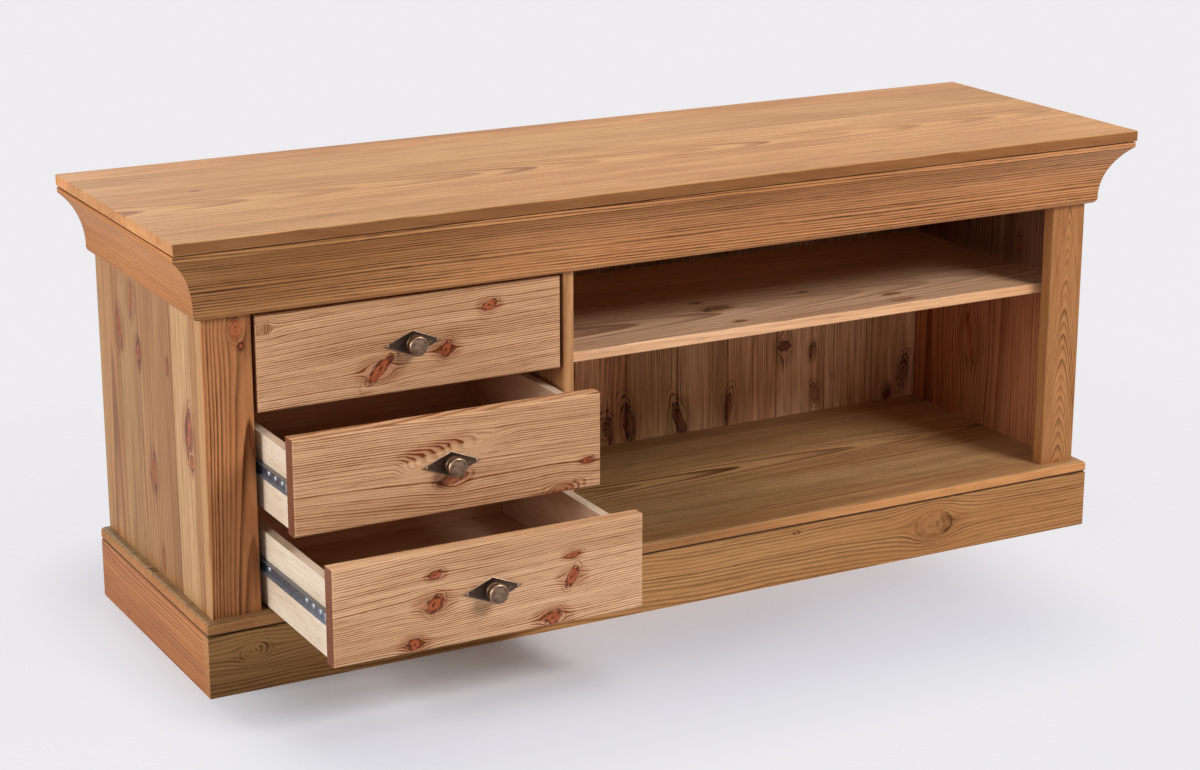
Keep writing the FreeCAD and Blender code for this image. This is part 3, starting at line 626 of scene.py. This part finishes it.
def shaded_runner_steel(level):
    """Zinc steel for one drawer's runners: painted shade on the track's side faces and the upper lip's top.
    """
    material, tree, shader = new_material(f"runner_steel_{level}", {"Metallic": ZINC_METAL})
    place = board_place(tree, LYING, middle_of(f"drawer_{level}_runners"))
    zinc = use_group(ZINC, {"Place": place})
    # Painted shade on the sideways faces of the track and on the top of the upper lip.
    lip_shade_mask = ramp(parts_of(place)[2], LIP_SHADE_STARTS * MM, LIP_SHADE_FULL * MM)
    runner_shade_mask = larger(squarely(tree, LYING[0]), lip_shade_mask)
    wear_finish(shader, zinc, ZINC_BUMP, multiplied(runner_shade_mask, zinc["Color"], RUNNER_SHADE))
    return material


def beech_wood():
    material, tree, shader = new_material("beech", {})
    wear_finish(shader, use_group(BEECH, {"Place": object_place(tree)}))
    return material


def knob_bronze(level, foot):
    """Bronze for one knob: bright on the rim as worn metal and a painted highlight, worn on the face, dark in
    the groove behind the head.
    """
    material, tree, shader = new_material(f"knob_bronze_{level}", {"Metallic": 1.0})
    place = board_place(tree, FACING, foot)
    along, across, out = parts_of(place)
    ring = calc("SQRT", squares(along, across))
    # The rim is worn metal and a painted highlight.
    rim = times(ramp(ring, 10.6 * MM, 12.4 * MM), ramp(out, 16.5 * MM, 19.0 * MM))
    face = ramp(out, 19.2 * MM, 19.9 * MM)
    groove = band(out, 7.6 * MM, 8.4 * MM, 12.0 * MM, 10.4 * MM)
    wear_and_highlight = piled(0.36, (rim, 0.5), (face, 0.16), (groove, -0.7))
    wear_finish(shader, use_group(BRONZE, {"Place": place, "Rubbed": wear_and_highlight}), bump=0.05)
    return material


def plate_bronze(level, middle):
    """Bronze for one back plate and its nails: almost black, bright on the nails, and on its rim as worn
    metal and a painted highlight of the bevel.
    """
    material, tree, shader = new_material(f"plate_bronze_{level}", {"Metallic": 1.0})
    low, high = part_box(f"drawer_{level}_knob_plate")
    place = board_place(tree, FACING, middle)
    along, across, out = parts_of(place)
    along = divided(calc("ABSOLUTE", along), (high.x - low.x) / 2)
    across = divided(calc("ABSOLUTE", across), (high.z - low.z) / 2)
    # The rim is worn metal and a painted highlight of the bevel.
    rim = ramp(plus(along, across), 0.9, 0.96, 0.0, 0.9)
    proud = ramp(out, 0.2 * MM, 0.6 * MM, 0.0, 0.9)
    wear_and_shine = ramp(noise(place, (60, 190, 60), 3.0), 0.4, 0.75, -0.1, 0.4)
    wear_and_shine = larger(wear_and_shine, larger(rim, proud))
    wear_finish(shader, use_group(BRONZE, {"Place": place, "Rubbed": wear_and_shine}), bump=0.12)
    return material


# The early and the late wood of each kind of board.
HONEY = (shade(224, 168, 114), shade(160, 94, 42))
FRONT = {
    "upper": (shade(229, 181, 137), shade(134, 70, 22)),
    "middle": (shade(222, 172, 128), shade(128, 64, 20)),
    "lower": (shade(233, 186, 142), shade(138, 72, 24)),
}
CROWN = (shade(212, 147, 94), shade(88, 45, 14))
ORANGE = (shade(187, 121, 63), shade(128, 70, 28))
AMBER = (shade(192, 124, 70), shade(132, 74, 34))
GREYED = (shade(188, 144, 98), shade(112, 62, 28))
RUSSET = (shade(186, 123, 76), shade(86, 40, 12))
TAWNY = (shade(189, 130, 80), shade(104, 56, 20))
OLIVE = (shade(197, 142, 89), shade(104, 62, 24))
FLOOR = (shade(200, 156, 109), shade(92, 56, 26))
PALE = (shade(237, 187, 150), shade(136, 80, 52))
BROWN = (shade(226, 174, 128), shade(88, 46, 24))
INSIDE = (shade(176, 124, 80), shade(120, 78, 48))
SAWN = (shade(208, 153, 104), shade(150, 98, 60))

# Tints of the wood and the steel. Painted shade: in the plinth joint, on the runners, at the left ends
# of the crown and plinth fronts, on the floor panel's left part and above the shelf. Also the staves'
# hues, the ends, and edges at a board's two ends, with painted shade on the top's long edges and painted
# light on the floor panel's and the shelf's; and inner faces, with painted light on the back's.
JOINT_SHADE = shade(70, 44, 28)
REDDER = (1.04, 0.97, 0.92, 1.0)
GREENER = (0.95, 1.02, 1.0, 1.0)
RUNNER_SHADE = (0.34, 0.34, 0.36, 1.0)
DARK_END = (0.28, 0.17, 0.15, 1.0)
TOP_END = (0.88, 0.74, 0.62, 1.0)
WARM_END = (1.15, 0.98, 0.86, 1.0)
FLOOR_END = (1.24, 0.84, 0.56, 1.0)
LEFT_END_SHADE = (0.72, 0.76, 0.72, 1.0)
TOP_EDGE_SHADE = ((0.38, 0.29, 0.23, 1.0), (0.48, 0.37, 0.29, 1.0))
SHADED = (0.70, 0.72, 0.70, 1.0)
FLOOR_EDGE_LIGHT = ((1.08, 0.92, 0.8, 1.0), (1.22, 1.0, 0.83, 1.0))
STILE_EDGES = ((1.0, 1.0, 1.0, 1.0),) * 2  # keeps the colour and only calms the lines
LEFT_STILE_EDGES = ((1.0, 1.25, 1.35, 1.0),) * 2
SHELF_EDGE_LIGHT = ((1.16, 1.08, 0.98, 1.0), (1.16, 1.06, 0.92, 1.0))
RED_INSIDE = (1.2, 0.93, 1.02, 1.0)
BACK_INSIDE_LIGHT = (1.36, 1.55, 1.78, 1.0)
SHELF_SHADE = (0.5, 0.54, 0.64, 1.0)

# A knot is: along, across, half length, half width (mm from the board's middle), lean in degrees, pull on
# the grain, how red and dark it is, and, where it isn't the usual one, how far its arcs spread.
DRAWER_KNOTS = {
    "upper": (
        (109, 36, 10, 6, 20, 1, 1), (47, -15, 11, 7, 60, 1, 1), (-47, -30, 22, 8, 45, 1.2, 1),
        (-203, 44, 6, 9, 0, 0.7, 0.08)),
    "middle": (
        (2, -20, 18, 6, 8, 1, 0.8), (193, -25, 9, 4, 10, 1, 0.9),
        (157, -60, 20, 9, 10, 1.2, 0.25)),
    "lower": (
        (-76, 33, 9, 5, 20, 1, 0.9), (-78, -5, 12, 9, 50, 1.1, 1), (111, -3, 13, 7, 60, 1.1, 1),
        (111, 26, 11, 3, 12, 1, 0.8), (84, -53, 11, 9, 30, 1, 1), (-106, -52, 8, 7, 10, 1, 1)),
}
TOP_KNOTS = ((-598, 40, 6, 3, 5, 1, 0.8), (505, 45, 10, 4, 0, 1, 0.25), (600, -80, 12, 4, 0, 1, 0.2))
SIDE_KNOTS = (
    (62, 102, 24, 6, 10, 1, 0.9), (114, 50, 22, 5, -9, 1, 0.8), (47, 29, 13, 8, 0, 1.1, 0.8),
    (56, -82, 10, 4, 0, 1, 0.7), (-14, -152, 28, 7, -10, 1.2, 0.9), (-50, -160, 9, 6, 0, 1, 1),
    (-106, -13, 24, 5, 0, 1, 0.8), (-112, 0, 3, 3, 0, 1, 1), (-217, -34, 12, 4, 0, 1, 0.6))
LEFT_STILE_KNOTS = ((130, 13, 13, 8, 0, 1.3, 0.5), (108, 19, 3, 2.5, 0, 1, 1))
PLINTH_KNOTS = (
    (417, 3, 26, 18, 0, 1.2, 0.5, 1.5), (182, 31, 3, 2, 0, 1, 0.9), (-630, 12, 16, 9, 8, 1.4, 0.1, 2.2))
SHELF_KNOTS = (
    (-119, -79, 20, 9, 10, 1.4, 0.9), (-126, -40, 6, 4, 0, 1, 1), (-121, -152, 8, 4, 0, 1, 1),
    (147, -127, 12, 5, 10, 1.2, 1), (146, -160, 16, 5, 0, 1, 0.6), (40, -60, 7, 3, 0, 1, 1))
BACK_KNOTS = (
    (-129, 415, 8, 11, 0, 1, 1), (-144, 467, 11, 6, 10, 1, 0.6), (-222, 98, 20, 13, 0, 1.2, 0.35),
    (-212, 138, 26, 9, -14, 1.2, 0.8, 3.2), (-224, 228, 28, 8, -18, 1.1, 0.9, 3.2),
    (-218, 314, 22, 6, 8, 1.1, 0.7, 3), (-214, 472, 15, 7, -12, 1.1, 0.6), (-235, 611, 7, 7, 0, 1, 1),
    (-200, 640, 22, 9, 12, 1.2, 0.4))
INNER_SIDE_KNOTS = ((-115, 34, 34, 6, 14, 1.3, 0.6), (60, -80, 12, 6, 0, 1.1, 0.5))

# The height in mm of the joint between the plinth and the floor panel, along which painted shade runs.
PLINTH_JOINT = 84


def finish_boards():
    """Pine on every board that the CAD holds."""
    cuts = {"upper": (150, 2.6, 7.0), "middle": (-140, 2.8, 10.0), "lower": (110, 2.4, 8.0)}
    feathers = {"middle": (-58, 17, 94, 0.19)}
    for seed, level in enumerate(DRAWERS, 11):
        across, ring, wander = cuts[level]
        pine_board(f"drawer_{level}_front", FACING, FRONT[level], seed, heart=(across, -60), ring=ring,
                   wander=wander, taper=0.03, knots=DRAWER_KNOTS[level], lines=0.88,
                   feather=feathers.get(level), ends=DARK_END)
    # Painted shade on the top's long edges, darker towards the left end.
    pine_board("top_panel", LYING, HONEY, 3, heart=(0, -34), ring=3.8, wander=14, taper=0.03, staves=112,
               tones=(0.97, 1.03), knots=TOP_KNOTS, ends=TOP_END, edges=TOP_EDGE_SHADE, streak=80)
    # Painted shade darkens the crown front towards its left end.
    pine_board("crown_front", FACING, CROWN, 5, heart=(-140, -40), wander=5,
               shade_fade=(LEFT_END_SHADE, -690, -60))
    pine_board("crown_left", RUNNING_BACK, ORANGE, 6, heart=(110, 40), ring=5, lines=0.45)
    pine_board("crown_right", RUNNING_BACK, ORANGE, 7, heart=(110, -40), ring=5, lines=0.45)
    # Painted shade darkens the plinth front towards its left end, and a line of it runs along the joint.
    pine_board("plinth_front", FACING, OLIVE, 12, heart=(-90, -50), wander=14, lines=0.7,
               knots=PLINTH_KNOTS, knot=KNOT_PLAIN, ends=WARM_END, shade_fade=(LEFT_END_SHADE, -690, -100),
               joint=PLINTH_JOINT)
    pine_board("plinth_left", RUNNING_BACK, AMBER, 8, heart=(90, 60), wander=9,
               knots=((96, -33, 3, 2, 0, 1, 1),), joint=PLINTH_JOINT)
    pine_board("plinth_right", RUNNING_BACK, AMBER, 13, heart=(-80, -60), wander=9,
               joint=PLINTH_JOINT)
    pine_board("side_panel_left", STANDING_SIDE, GREYED, 21, heart=(0, -70), staves=68,
               knots=SIDE_KNOTS, tones=(0.8, 1.12), lines=0.6, mottle=1.3)
    # Painted shade on the inner face above the shelf.
    pine_board("side_panel_right", STANDING_SIDE, GREYED, 22, heart=(0, -70), ring=4.6, staves=126,
               knots=INNER_SIDE_KNOTS, tones=(0.93, 1.05), lines=0.75, inside=(RED_INSIDE, (-1, 0, 0)))
    pine_board("stile_left", STANDING, RUSSET, 9, heart=(26, 40), ring=3.2, wander=4, taper=0.02,
               lines=0.9, knots=LEFT_STILE_KNOTS, edges=LEFT_STILE_EDGES)
    pine_board("stile_right", STANDING, TAWNY, 10, heart=(0, -24), ring=2, wander=1.6, tilt=-0.045,
               taper=0.15, lines=0.75, edges=STILE_EDGES)
    # Painted light on the floor panel's long edges, painted shade on its left part, and a line of painted
    # shade along the joint.
    pine_board("bottom_panel", LYING, FLOOR, 14, heart=(0, -40), ring=3, wander=7, taper=0.02,
               lines=0.95, staves=104, tones=(0.94, 1.05), ends=FLOOR_END, edges=FLOOR_EDGE_LIGHT,
               shade_fade=(SHADED, -40, 400), joint=PLINTH_JOINT)
    # Painted light on the shelf's long edges.
    pine_board("shelf", LYING, PALE, 16, heart=(0, -40), ring=4.2, wander=12, taper=0.03, staves=120,
               knots=SHELF_KNOTS, knot=KNOT_RINGED, edges=SHELF_EDGE_LIGHT, lines=0.6)
    pine_board("divider", STANDING_SIDE, SAWN, 17, ring=4, staves=60)
    # Painted light on the back's inner face, and painted shade on it above the shelf.
    pine_board("back_boards", STANDING, BROWN, 25, heart=(0, 40), ring=4, wander=10, staves=89.2,
               tones=(0.66, 1.12), knots=BACK_KNOTS, knot=KNOT_DARK, lines=0.6, mottle=1.9,
               inside=(BACK_INSIDE_LIGHT, (0, -1, 0)))
    for seed, node in enumerate(("plinth_back", "top_rail_front", "top_rail_back", "top_battens"), 30):
        pine_board(node, FACING, INSIDE, seed, heart=(90, -50))
    for seed, node in enumerate(("plinth_mid", "plinth_blocks", "runner_packers"), 40):
        pine_board(node, RUNNING_BACK, INSIDE, seed, heart=(90, -50))


# Fittings, modelled in edit mode

def start_clear():
    bpy.ops.object.select_all(action="DESELECT")


def take_up(piece):
    """Makes a piece the only one selected, and the active one."""
    start_clear()
    piece.select_set(True)
    bpy.context.view_layer.objects.active = piece


def smooth(piece, angle):
    """Shades a piece smooth, apart from edges sharper than angle in degrees."""
    take_up(piece)
    bpy.ops.object.shade_smooth_by_angle(angle=math.radians(angle))


def new_piece(name):
    """Names the primitive that was just added and moves its place into its mesh."""
    piece = bpy.context.object
    piece.name = name
    piece.data.name = name
    bpy.ops.object.transform_apply(location=True, rotation=True, scale=True)
    return piece


def block(name, middle, size):
    start_clear()
    bpy.ops.mesh.primitive_cube_add(size=1.0, location=middle)
    bpy.context.object.scale = size
    return new_piece(name)


def pull(step):
    """Extrudes what is selected."""
    bpy.ops.mesh.extrude_region_move(TRANSFORM_OT_translate={"value": step})


def draw_out(step, ratio, centre, axis):
    """Extrudes what is selected by step, then narrows or widens it round its axis."""
    pull(step)
    bpy.ops.transform.resize(value=[ratio + (1 - ratio) * abs(part) for part in axis], center_override=centre)


def turned(name, foot, axis, outline, sides):
    """A turned piece: a disc at foot, drawn out along axis ring by ring. outline is radius, height in mm."""
    start_clear()
    foot = Vector(foot)
    axis = Vector(axis)
    radius, height = outline[0]
    bpy.ops.mesh.primitive_circle_add(vertices=sides, radius=radius * MM, fill_type="NGON",
                                      location=foot + axis * height * MM,
                                      rotation=axis.to_track_quat("Z", "Y").to_euler())
    piece = new_piece(name)
    bpy.ops.object.mode_set(mode="EDIT")
    for next_radius, next_height in outline[1:]:
        step = axis * (next_height - height) * MM
        draw_out(step, next_radius / radius, foot + axis * next_height * MM, axis)
        radius, height = next_radius, next_height
    close_up()
    return piece


def close_up():
    """Ends edit mode with the faces pointing outwards."""
    bpy.ops.mesh.select_all(action="SELECT")
    bpy.ops.mesh.normals_make_consistent(inside=False)
    bpy.ops.object.mode_set(mode="OBJECT")


def ease_edges(piece, width, segments=2):
    """Rounds the sharp edges by width in mm and shades the rest smooth."""
    take_up(piece)
    bpy.ops.object.modifier_add(type="BEVEL")
    bevel = piece.modifiers[-1]
    bevel.width = width * MM
    bevel.segments = segments
    bevel.limit_method = "ANGLE"
    bevel.angle_limit = math.radians(35)
    bpy.ops.object.modifier_apply(modifier=bevel.name)
    smooth(piece, 40)


def cut_cross(piece, place, axis, reach, depth):
    """Cuts a cross recess for a driver into a screw's head."""
    arms = []
    long = 2 * reach
    slim = 0.36 * reach
    for sides in ((long, slim), (slim, long)):
        spans = iter(sides)
        size = [2 * depth * MM if part else next(spans) * MM for part in axis]
        arms.append(block("cross_arm", place, size))
    for arm in arms:
        take_up(piece)
        bpy.ops.object.modifier_add(type="BOOLEAN")
        cut = piece.modifiers[-1]
        cut.object = arm
        cut.operation = "DIFFERENCE"
        bpy.ops.object.modifier_apply(modifier=cut.name)
        bpy.data.objects.remove(arm)


def spread(piece, shifts):
    """Copies a piece to each shift, every copy with its own mesh, and joins them into one."""
    twins = []
    for shift in shifts:
        twin = piece.copy()
        twin.data = piece.data.copy()
        twin.data.transform(Matrix.Translation(shift))
        bpy.context.scene.collection.objects.link(twin)
        twins.append(twin)
    name = piece.name
    bpy.data.objects.remove(piece)
    start_clear()
    for twin in twins:
        twin.select_set(True)
    bpy.context.view_layer.objects.active = twins[0]
    bpy.ops.object.join()
    twins[0].name = name
    twins[0].data.name = name
    return twins[0]


def fit(piece, material, body, slot, *nodes):
    """Gives a piece its finish, lets it ride on a body and stand for the CAD nodes that it replaces."""
    piece.data.materials.clear()
    piece.data.materials.append(material)
    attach(piece, body)
    if nodes:
        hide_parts(*nodes)


OUT_FRONT = (0, -1, 0)
OUT_BACK = (0, 1, 0)

# Radius and height in mm of each ring of the turned fittings.
KNOB_OUTLINE = (
    (9.8, 0), (11.2, 0.5), (11.8, 1.6), (11.8, 6.2), (11.3, 7.4), (10.2, 8), (9.5, 8.4), (9.5, 10.1),
    (10.6, 10.6), (12.3, 10.9), (13, 11.6), (13.2, 12.6), (13.2, 17), (13, 18), (12.5, 18.8),
    (11.8, 19.4), (11.2, 19.5), (10.7, 19.35), (9.8, 19.5), (6, 19.8), (1.5, 20))
NAIL_OUTLINE = ((1.9, -0.4), (1.9, 0.1), (1.7, 0.5), (1.2, 0.85), (0.5, 1))
SCREW_OUTLINE = ((3.6, 0), (3.6, 0.5), (3.3, 1), (2.6, 1.4), (1.4, 1.6))
BACK_NAIL_OUTLINE = ((1.9, -0.4), (1.9, 0.1), (1.7, 0.35), (1.1, 0.55), (0.5, 0.6))

# Sizes and places of the fittings in mm.
PLATE_NAIL_INSET = 7.5
PLATE_EDGE = 0.8
PLATE_SLOPE_ASIDE = 1.6
PLATE_SLOPE_UP = 0.7
PLATE_RIM = 0.9
PLATE_SUNK = 0.25
PLATE_EASE = 0.12
SCREW_HEIGHT = 1.6
SCREW_CROSS = (2.0, 1.0)
BOLT_CROSS = (2.3, 1.2)
FRONT_SCREW_ASIDE = 140
FRONT_SCREW_UP = 26
RUNNER_STEEL = 1.2
RUNNER_SCREWS_BACK = (24, 46, 68, 190, 320)
STOP_SIZE = (2, 9, 12)
STOP_BACK = 6
STOP_PROUD = 1.8
STOP_TIP_BACK = 4
STOP_TIP_SCALE = (1, 0.62, 0.7)
STOP_EASE = 0.6
BACK_BOARDS = 15
BACK_NAIL_UP = 12
BACK_NAILS_ACROSS = (0.3, 0.7)  # as shares of a board's width


def make_knob(level):
    """The turned knob, its diamond plate, and a nail at each tip of the plate."""
    body = f"drawer_{level}"
    foot = middle_of(f"{body}_knob")
    foot.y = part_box(f"{body}_knob")[1].y
    knob = turned(f"{body}_turned_knob", foot, OUT_FRONT, KNOB_OUTLINE, 64)
    smooth(knob, 50)
    fit(knob, knob_bronze(level, foot), body, "bronze", f"{body}_knob")
    bronze = plate_bronze(level, foot)
    fit(make_plate(level), bronze, body, "bronze", f"{body}_knob_plate")
    plate_low, plate_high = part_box(f"{body}_knob_plate")
    reach = (plate_high.x - plate_low.x) / 2 - PLATE_NAIL_INSET * MM
    nail = turned(f"{body}_plate_nails", foot, OUT_FRONT, NAIL_OUTLINE, 20)
    nails = spread(nail, [(-reach, 0, 0), (reach, 0, 0)])
    smooth(nails, 60)
    fit(nails, bronze, body, "bronze")


def make_plate(level):
    """The diamond plate: a bevelled outline round a field that lies a little lower."""
    low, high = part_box(f"drawer_{level}_knob_plate")
    middle = (low + high) / 2
    half_x = (high.x - low.x) / 2
    half_z = (high.z - low.z) / 2
    start_clear()
    bpy.ops.mesh.primitive_circle_add(vertices=4, radius=1.0, fill_type="NGON",
                                      location=(middle.x, high.y, middle.z), rotation=(math.pi / 2, 0, 0))
    bpy.context.object.scale = (half_x, half_z, 1.0)
    plate = new_piece(f"drawer_{level}_diamond_plate")
    edge = PLATE_EDGE * MM
    slope = (1 - PLATE_SLOPE_ASIDE * MM / half_x, 1.0, 1 - PLATE_SLOPE_UP * MM / half_z)
    bpy.ops.object.mode_set(mode="EDIT")
    bpy.ops.mesh.select_all(action="SELECT")
    pull((0, -edge, 0))
    pull((0, low.y - high.y + edge, 0))
    bpy.ops.transform.resize(value=slope, center_override=middle)
    bpy.ops.mesh.inset(thickness=PLATE_RIM * MM, depth=-PLATE_SUNK * MM)
    close_up()
    ease_edges(plate, PLATE_EASE)
    return plate


def make_screws(name, body, place, axis, shifts):
    """Screws with round heads and a cross recess, standing on a surface at each shift from place."""
    screw = turned(name, place, axis, SCREW_OUTLINE, 28)
    cut_cross(screw, place + Vector(axis) * (SCREW_HEIGHT * MM), axis, *SCREW_CROSS)
    screws = spread(screw, shifts)
    smooth(screws, 40)
    fit(screws, STEEL, body, "zinc_steel")


def make_front_fasteners(level):
    """Fasteners inside a drawer: the knob's bolt, and four screws that hold the front to the box."""
    body = f"drawer_{level}"
    low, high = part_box(f"{body}_knob_screw")
    axis_x = (low.x + high.x) / 2
    axis_z = (low.z + high.z) / 2
    long = (high.y - low.y) / MM
    outline = ((1.6, 0.0), (2.0, 0.5), (2.0, long - 2.5), (3.9, long - 2.45), (4.0, long - 2.0),
               (3.8, long - 1.1), (3.0, long - 0.4), (1.6, long))
    bolt = turned(f"{body}_knob_bolt", (axis_x, low.y, axis_z), OUT_BACK, outline, 32)
    cut_cross(bolt, (axis_x, high.y, axis_z), OUT_BACK, *BOLT_CROSS)
    smooth(bolt, 40)
    fit(bolt, STEEL, body, "zinc_steel", f"{body}_knob_screw")
    inner_low, inner_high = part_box(f"{body}_box_front")
    place = Vector((axis_x, inner_high.y, (inner_low.z + inner_high.z) / 2))
    shifts = [(side * FRONT_SCREW_ASIDE * MM, 0, rise * FRONT_SCREW_UP * MM)
              for side in (-1, 1) for rise in (-1, 1)]
    make_screws(f"{body}_front_screws", body, place, OUT_BACK, shifts)


def make_runner_fittings(level):
    """Screws along both drawer runners, and the bent stop at each runner's front end."""
    body = f"drawer_{level}"
    low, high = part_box(f"{body}_runners")
    axis_z = (low.z + high.z) / 2
    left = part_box(f"{body}_side_left")[0].x - RUNNER_STEEL * MM
    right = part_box(f"{body}_side_right")[1].x + RUNNER_STEEL * MM
    shifts = [(0, back * MM, 0) for back in RUNNER_SCREWS_BACK]
    for hand, side, web in (("left", -1, left), ("right", 1, right)):
        place = Vector((web, low.y, axis_z))
        make_screws(f"{body}_runner_screws_{hand}", body, place, (side, 0, 0), shifts)
        stop = make_stop(f"{body}_runner_stop_{hand}", place, side)
        fit(stop, STEEL, body, "zinc_steel")


def make_stop(name, place, side):
    """A stop tab pressed out of the runner's web, rounded on its outer face."""
    size = [part * MM for part in STOP_SIZE]
    stop = block(name, place + Vector((side * size[0] / 2, STOP_BACK * MM, 0)), size)
    bpy.ops.object.mode_set(mode="EDIT")
    select_faces(stop, lambda face: face.normal.x * side > 0.5)
    pull((side * STOP_PROUD * MM, 0, 0))
    tip = place + Vector((0, STOP_TIP_BACK * MM, 0))
    bpy.ops.transform.resize(value=STOP_TIP_SCALE, center_override=tip)
    close_up()
    ease_edges(stop, STOP_EASE, 3)
    return stop


def select_faces(piece, wanted):
    """Selects, in edit mode, the faces that a test picks."""
    bpy.ops.mesh.select_all(action="DESELECT")
    mesh = bmesh.from_edit_mesh(piece.data)
    for face in mesh.faces:
        face.select_set(wanted(face))
    mesh.select_flush(True)
    bmesh.update_edit_mesh(piece.data)


def make_back_nails():
    """Two rows of nails through the back boards, into the bottom panel's edge and the top rail."""
    low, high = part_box("back_boards")
    pitch = (high.x - low.x) / BACK_BOARDS
    nail = turned("back_nails", (low.x, high.y, 0.0), OUT_BACK, BACK_NAIL_OUTLINE, 16)
    rows = (low.z + BACK_NAIL_UP * MM, middle_of("top_rail_back").z)
    shifts = [((board + part) * pitch, 0, row)
              for row in rows for board in range(BACK_BOARDS) for part in BACK_NAILS_ACROSS]
    nails = spread(nail, shifts)
    smooth(nails, 60)
    fit(nails, STEEL, "cabinet", "zinc_steel")


def finish_boxes_and_runners():
    """Plywood on the drawer boxes, zinc on the runners and pins, beech on the dowels."""
    for level in DRAWERS:
        boards = (("box_front", FACING, 9, -1), ("back", FACING, 9, 1), ("side_left", RUNNING_BACK, 9, 1),
                  ("side_right", RUNNING_BACK, 9, -1), ("bottom", LYING, 5, 1))
        for part, lie, layers, inside in boards:
            ply_board(f"drawer_{level}_{part}", lie, layers, inside)
        dress(f"drawer_{level}_runners", shaded_runner_steel(level))
        dress(f"ball_cages_{level}", STEEL)
    dress("cabinet_runners", STEEL)
    dress("shelf_pins", STEEL)
    dress("carcass_dowels", beech_wood())


# Stage

GROUND = shade(238, 236, 239)
FLOOR_PALE = shade(226, 229, 238)
# How strongly the ground lights the stand, where the eye doesn't see the ground itself.
GROUND_LIGHT = 0.11
# The strip of floor that shows the shadow in full: its middle and half width across and back, how far
# beside it the shadow is nearly gone and quite gone, and how much of it goes by then.
STRIP_ACROSS = (-0.115, 0.415)
STRIP_BACK = (-0.12, 0.32)
NEARLY_GONE = 0.3
QUITE_GONE = 1.2
NEAR_SHARE = 0.9
FAR_SHARE = 0.1


def seen_by_eye(tree):
    """1 for rays that end in the eye: straight, off polished metal, or through glass."""
    rays = tree.nodes.new("ShaderNodeLightPath").outputs
    seen = larger(rays["Is Camera Ray"], rays["Is Glossy Ray"])
    return larger(seen, rays["Is Transmission Ray"])


def beyond(across, middle, half):
    """How far a place lies outside a strip of floor."""
    off = calc("ABSOLUTE", minus(across, middle))
    return larger(minus(off, half), 0.0)


def make_stage():
    """A pale floor that keeps the stand's shadow and fades into the same pale ground further off."""
    bpy.ops.mesh.primitive_plane_add(size=40)
    floor = bpy.context.object
    floor.name = "studio_floor"
    material, tree, shader = new_material("pale_floor", {"Base Color": FLOOR_PALE, "Roughness": 0.9})
    across, back = parts_of(object_place(tree))[:2]
    beside = beyond(across, *STRIP_ACROSS)
    before = beyond(back, *STRIP_BACK)
    away = add_node("VectorMath", {0: joined(beside, before, 0.0)}, operation="LENGTH")
    far = away.outputs["Value"]
    glow = add_node("Emission", {"Color": GROUND, "Strength": 1.0}, tree).outputs[0]
    near_fade = ramp(far, 0.0, NEARLY_GONE, 0.0, NEAR_SHARE)
    far_fade = ramp(far, NEARLY_GONE, QUITE_GONE, 0.0, FAR_SHARE)
    amount = times(plus(near_fade, far_fade), seen_by_eye(tree))
    both = add_node("MixShader", {0: amount, 1: shader.outputs[0], 2: glow}).outputs[0]
    tree.links.new(both, tree.nodes["Material Output"].inputs["Surface"])
    floor.data.materials.append(material)


def make_world():
    world = bpy.data.worlds.new("studio")
    bpy.context.scene.world = world
    world.use_nodes = True
    tree = world.node_tree
    tree.nodes.clear()
    strength = ramp(seen_by_eye(tree), 0.0, 1.0, GROUND_LIGHT, 1.0)
    ground = add_node("Background", {"Color": GROUND, "Strength": strength}).outputs[0]
    output = tree.nodes.new("ShaderNodeOutputWorld")
    tree.links.new(ground, output.inputs["Surface"])


def softbox(name, place, target, width, height, power):
    lamp = bpy.data.lights.new(name, "AREA")
    lamp.shape = "RECTANGLE"
    lamp.size = width
    lamp.size_y = height
    lamp.energy = power
    holder = bpy.data.objects.new(name, lamp)
    holder.location = place
    holder.rotation_euler = (Vector(target) - Vector(place)).to_track_quat("-Z", "Y").to_euler()
    bpy.context.scene.collection.objects.link(holder)


def make_lights():
    softbox("left_softbox", (-3.6, -0.6, 1.4), (-0.5, 0.0, 0.3), 2.0, 2.0, 82)
    softbox("overhead_softbox", (0.9, -0.4, 3.6), (0.4, 0.0, 0.5), 2.6, 2.0, 26)
    softbox("front_softbox", (1.8, -3.1, 2.9), (0.3, 0.0, 0.3), 1.4, 1.4, 118)
    softbox("back_softbox", (-0.7, 3.3, 2.5), (0.0, 0.2, 0.2), 1.6, 1.2, 50)


def make_camera():
    """Looks from the photograph's angle: heading to the right of the stand's back, and down."""
    heading = math.radians(28.505)
    down = math.radians(16.635)
    camera = bpy.data.cameras.new("camera")
    camera.lens = 79.83
    camera.sensor_width = 36.0
    holder = bpy.data.objects.new("camera", camera)
    holder.location = (-1.7384, -3.1667, 1.3400)
    holder.rotation_euler = (math.pi / 2 - down, 0.0, -heading)
    bpy.context.scene.collection.objects.link(holder)
    bpy.context.scene.camera = holder


STEEL = zinc_steel()
finish_boards()
finish_boxes_and_runners()
for drawer in DRAWERS:
    make_knob(drawer)
    make_front_fasteners(drawer)
    make_runner_fittings(drawer)
make_back_nails()
make_stage()
make_world()
make_lights()
make_camera()
bpy.context.scene.view_settings.view_transform = "Standard"
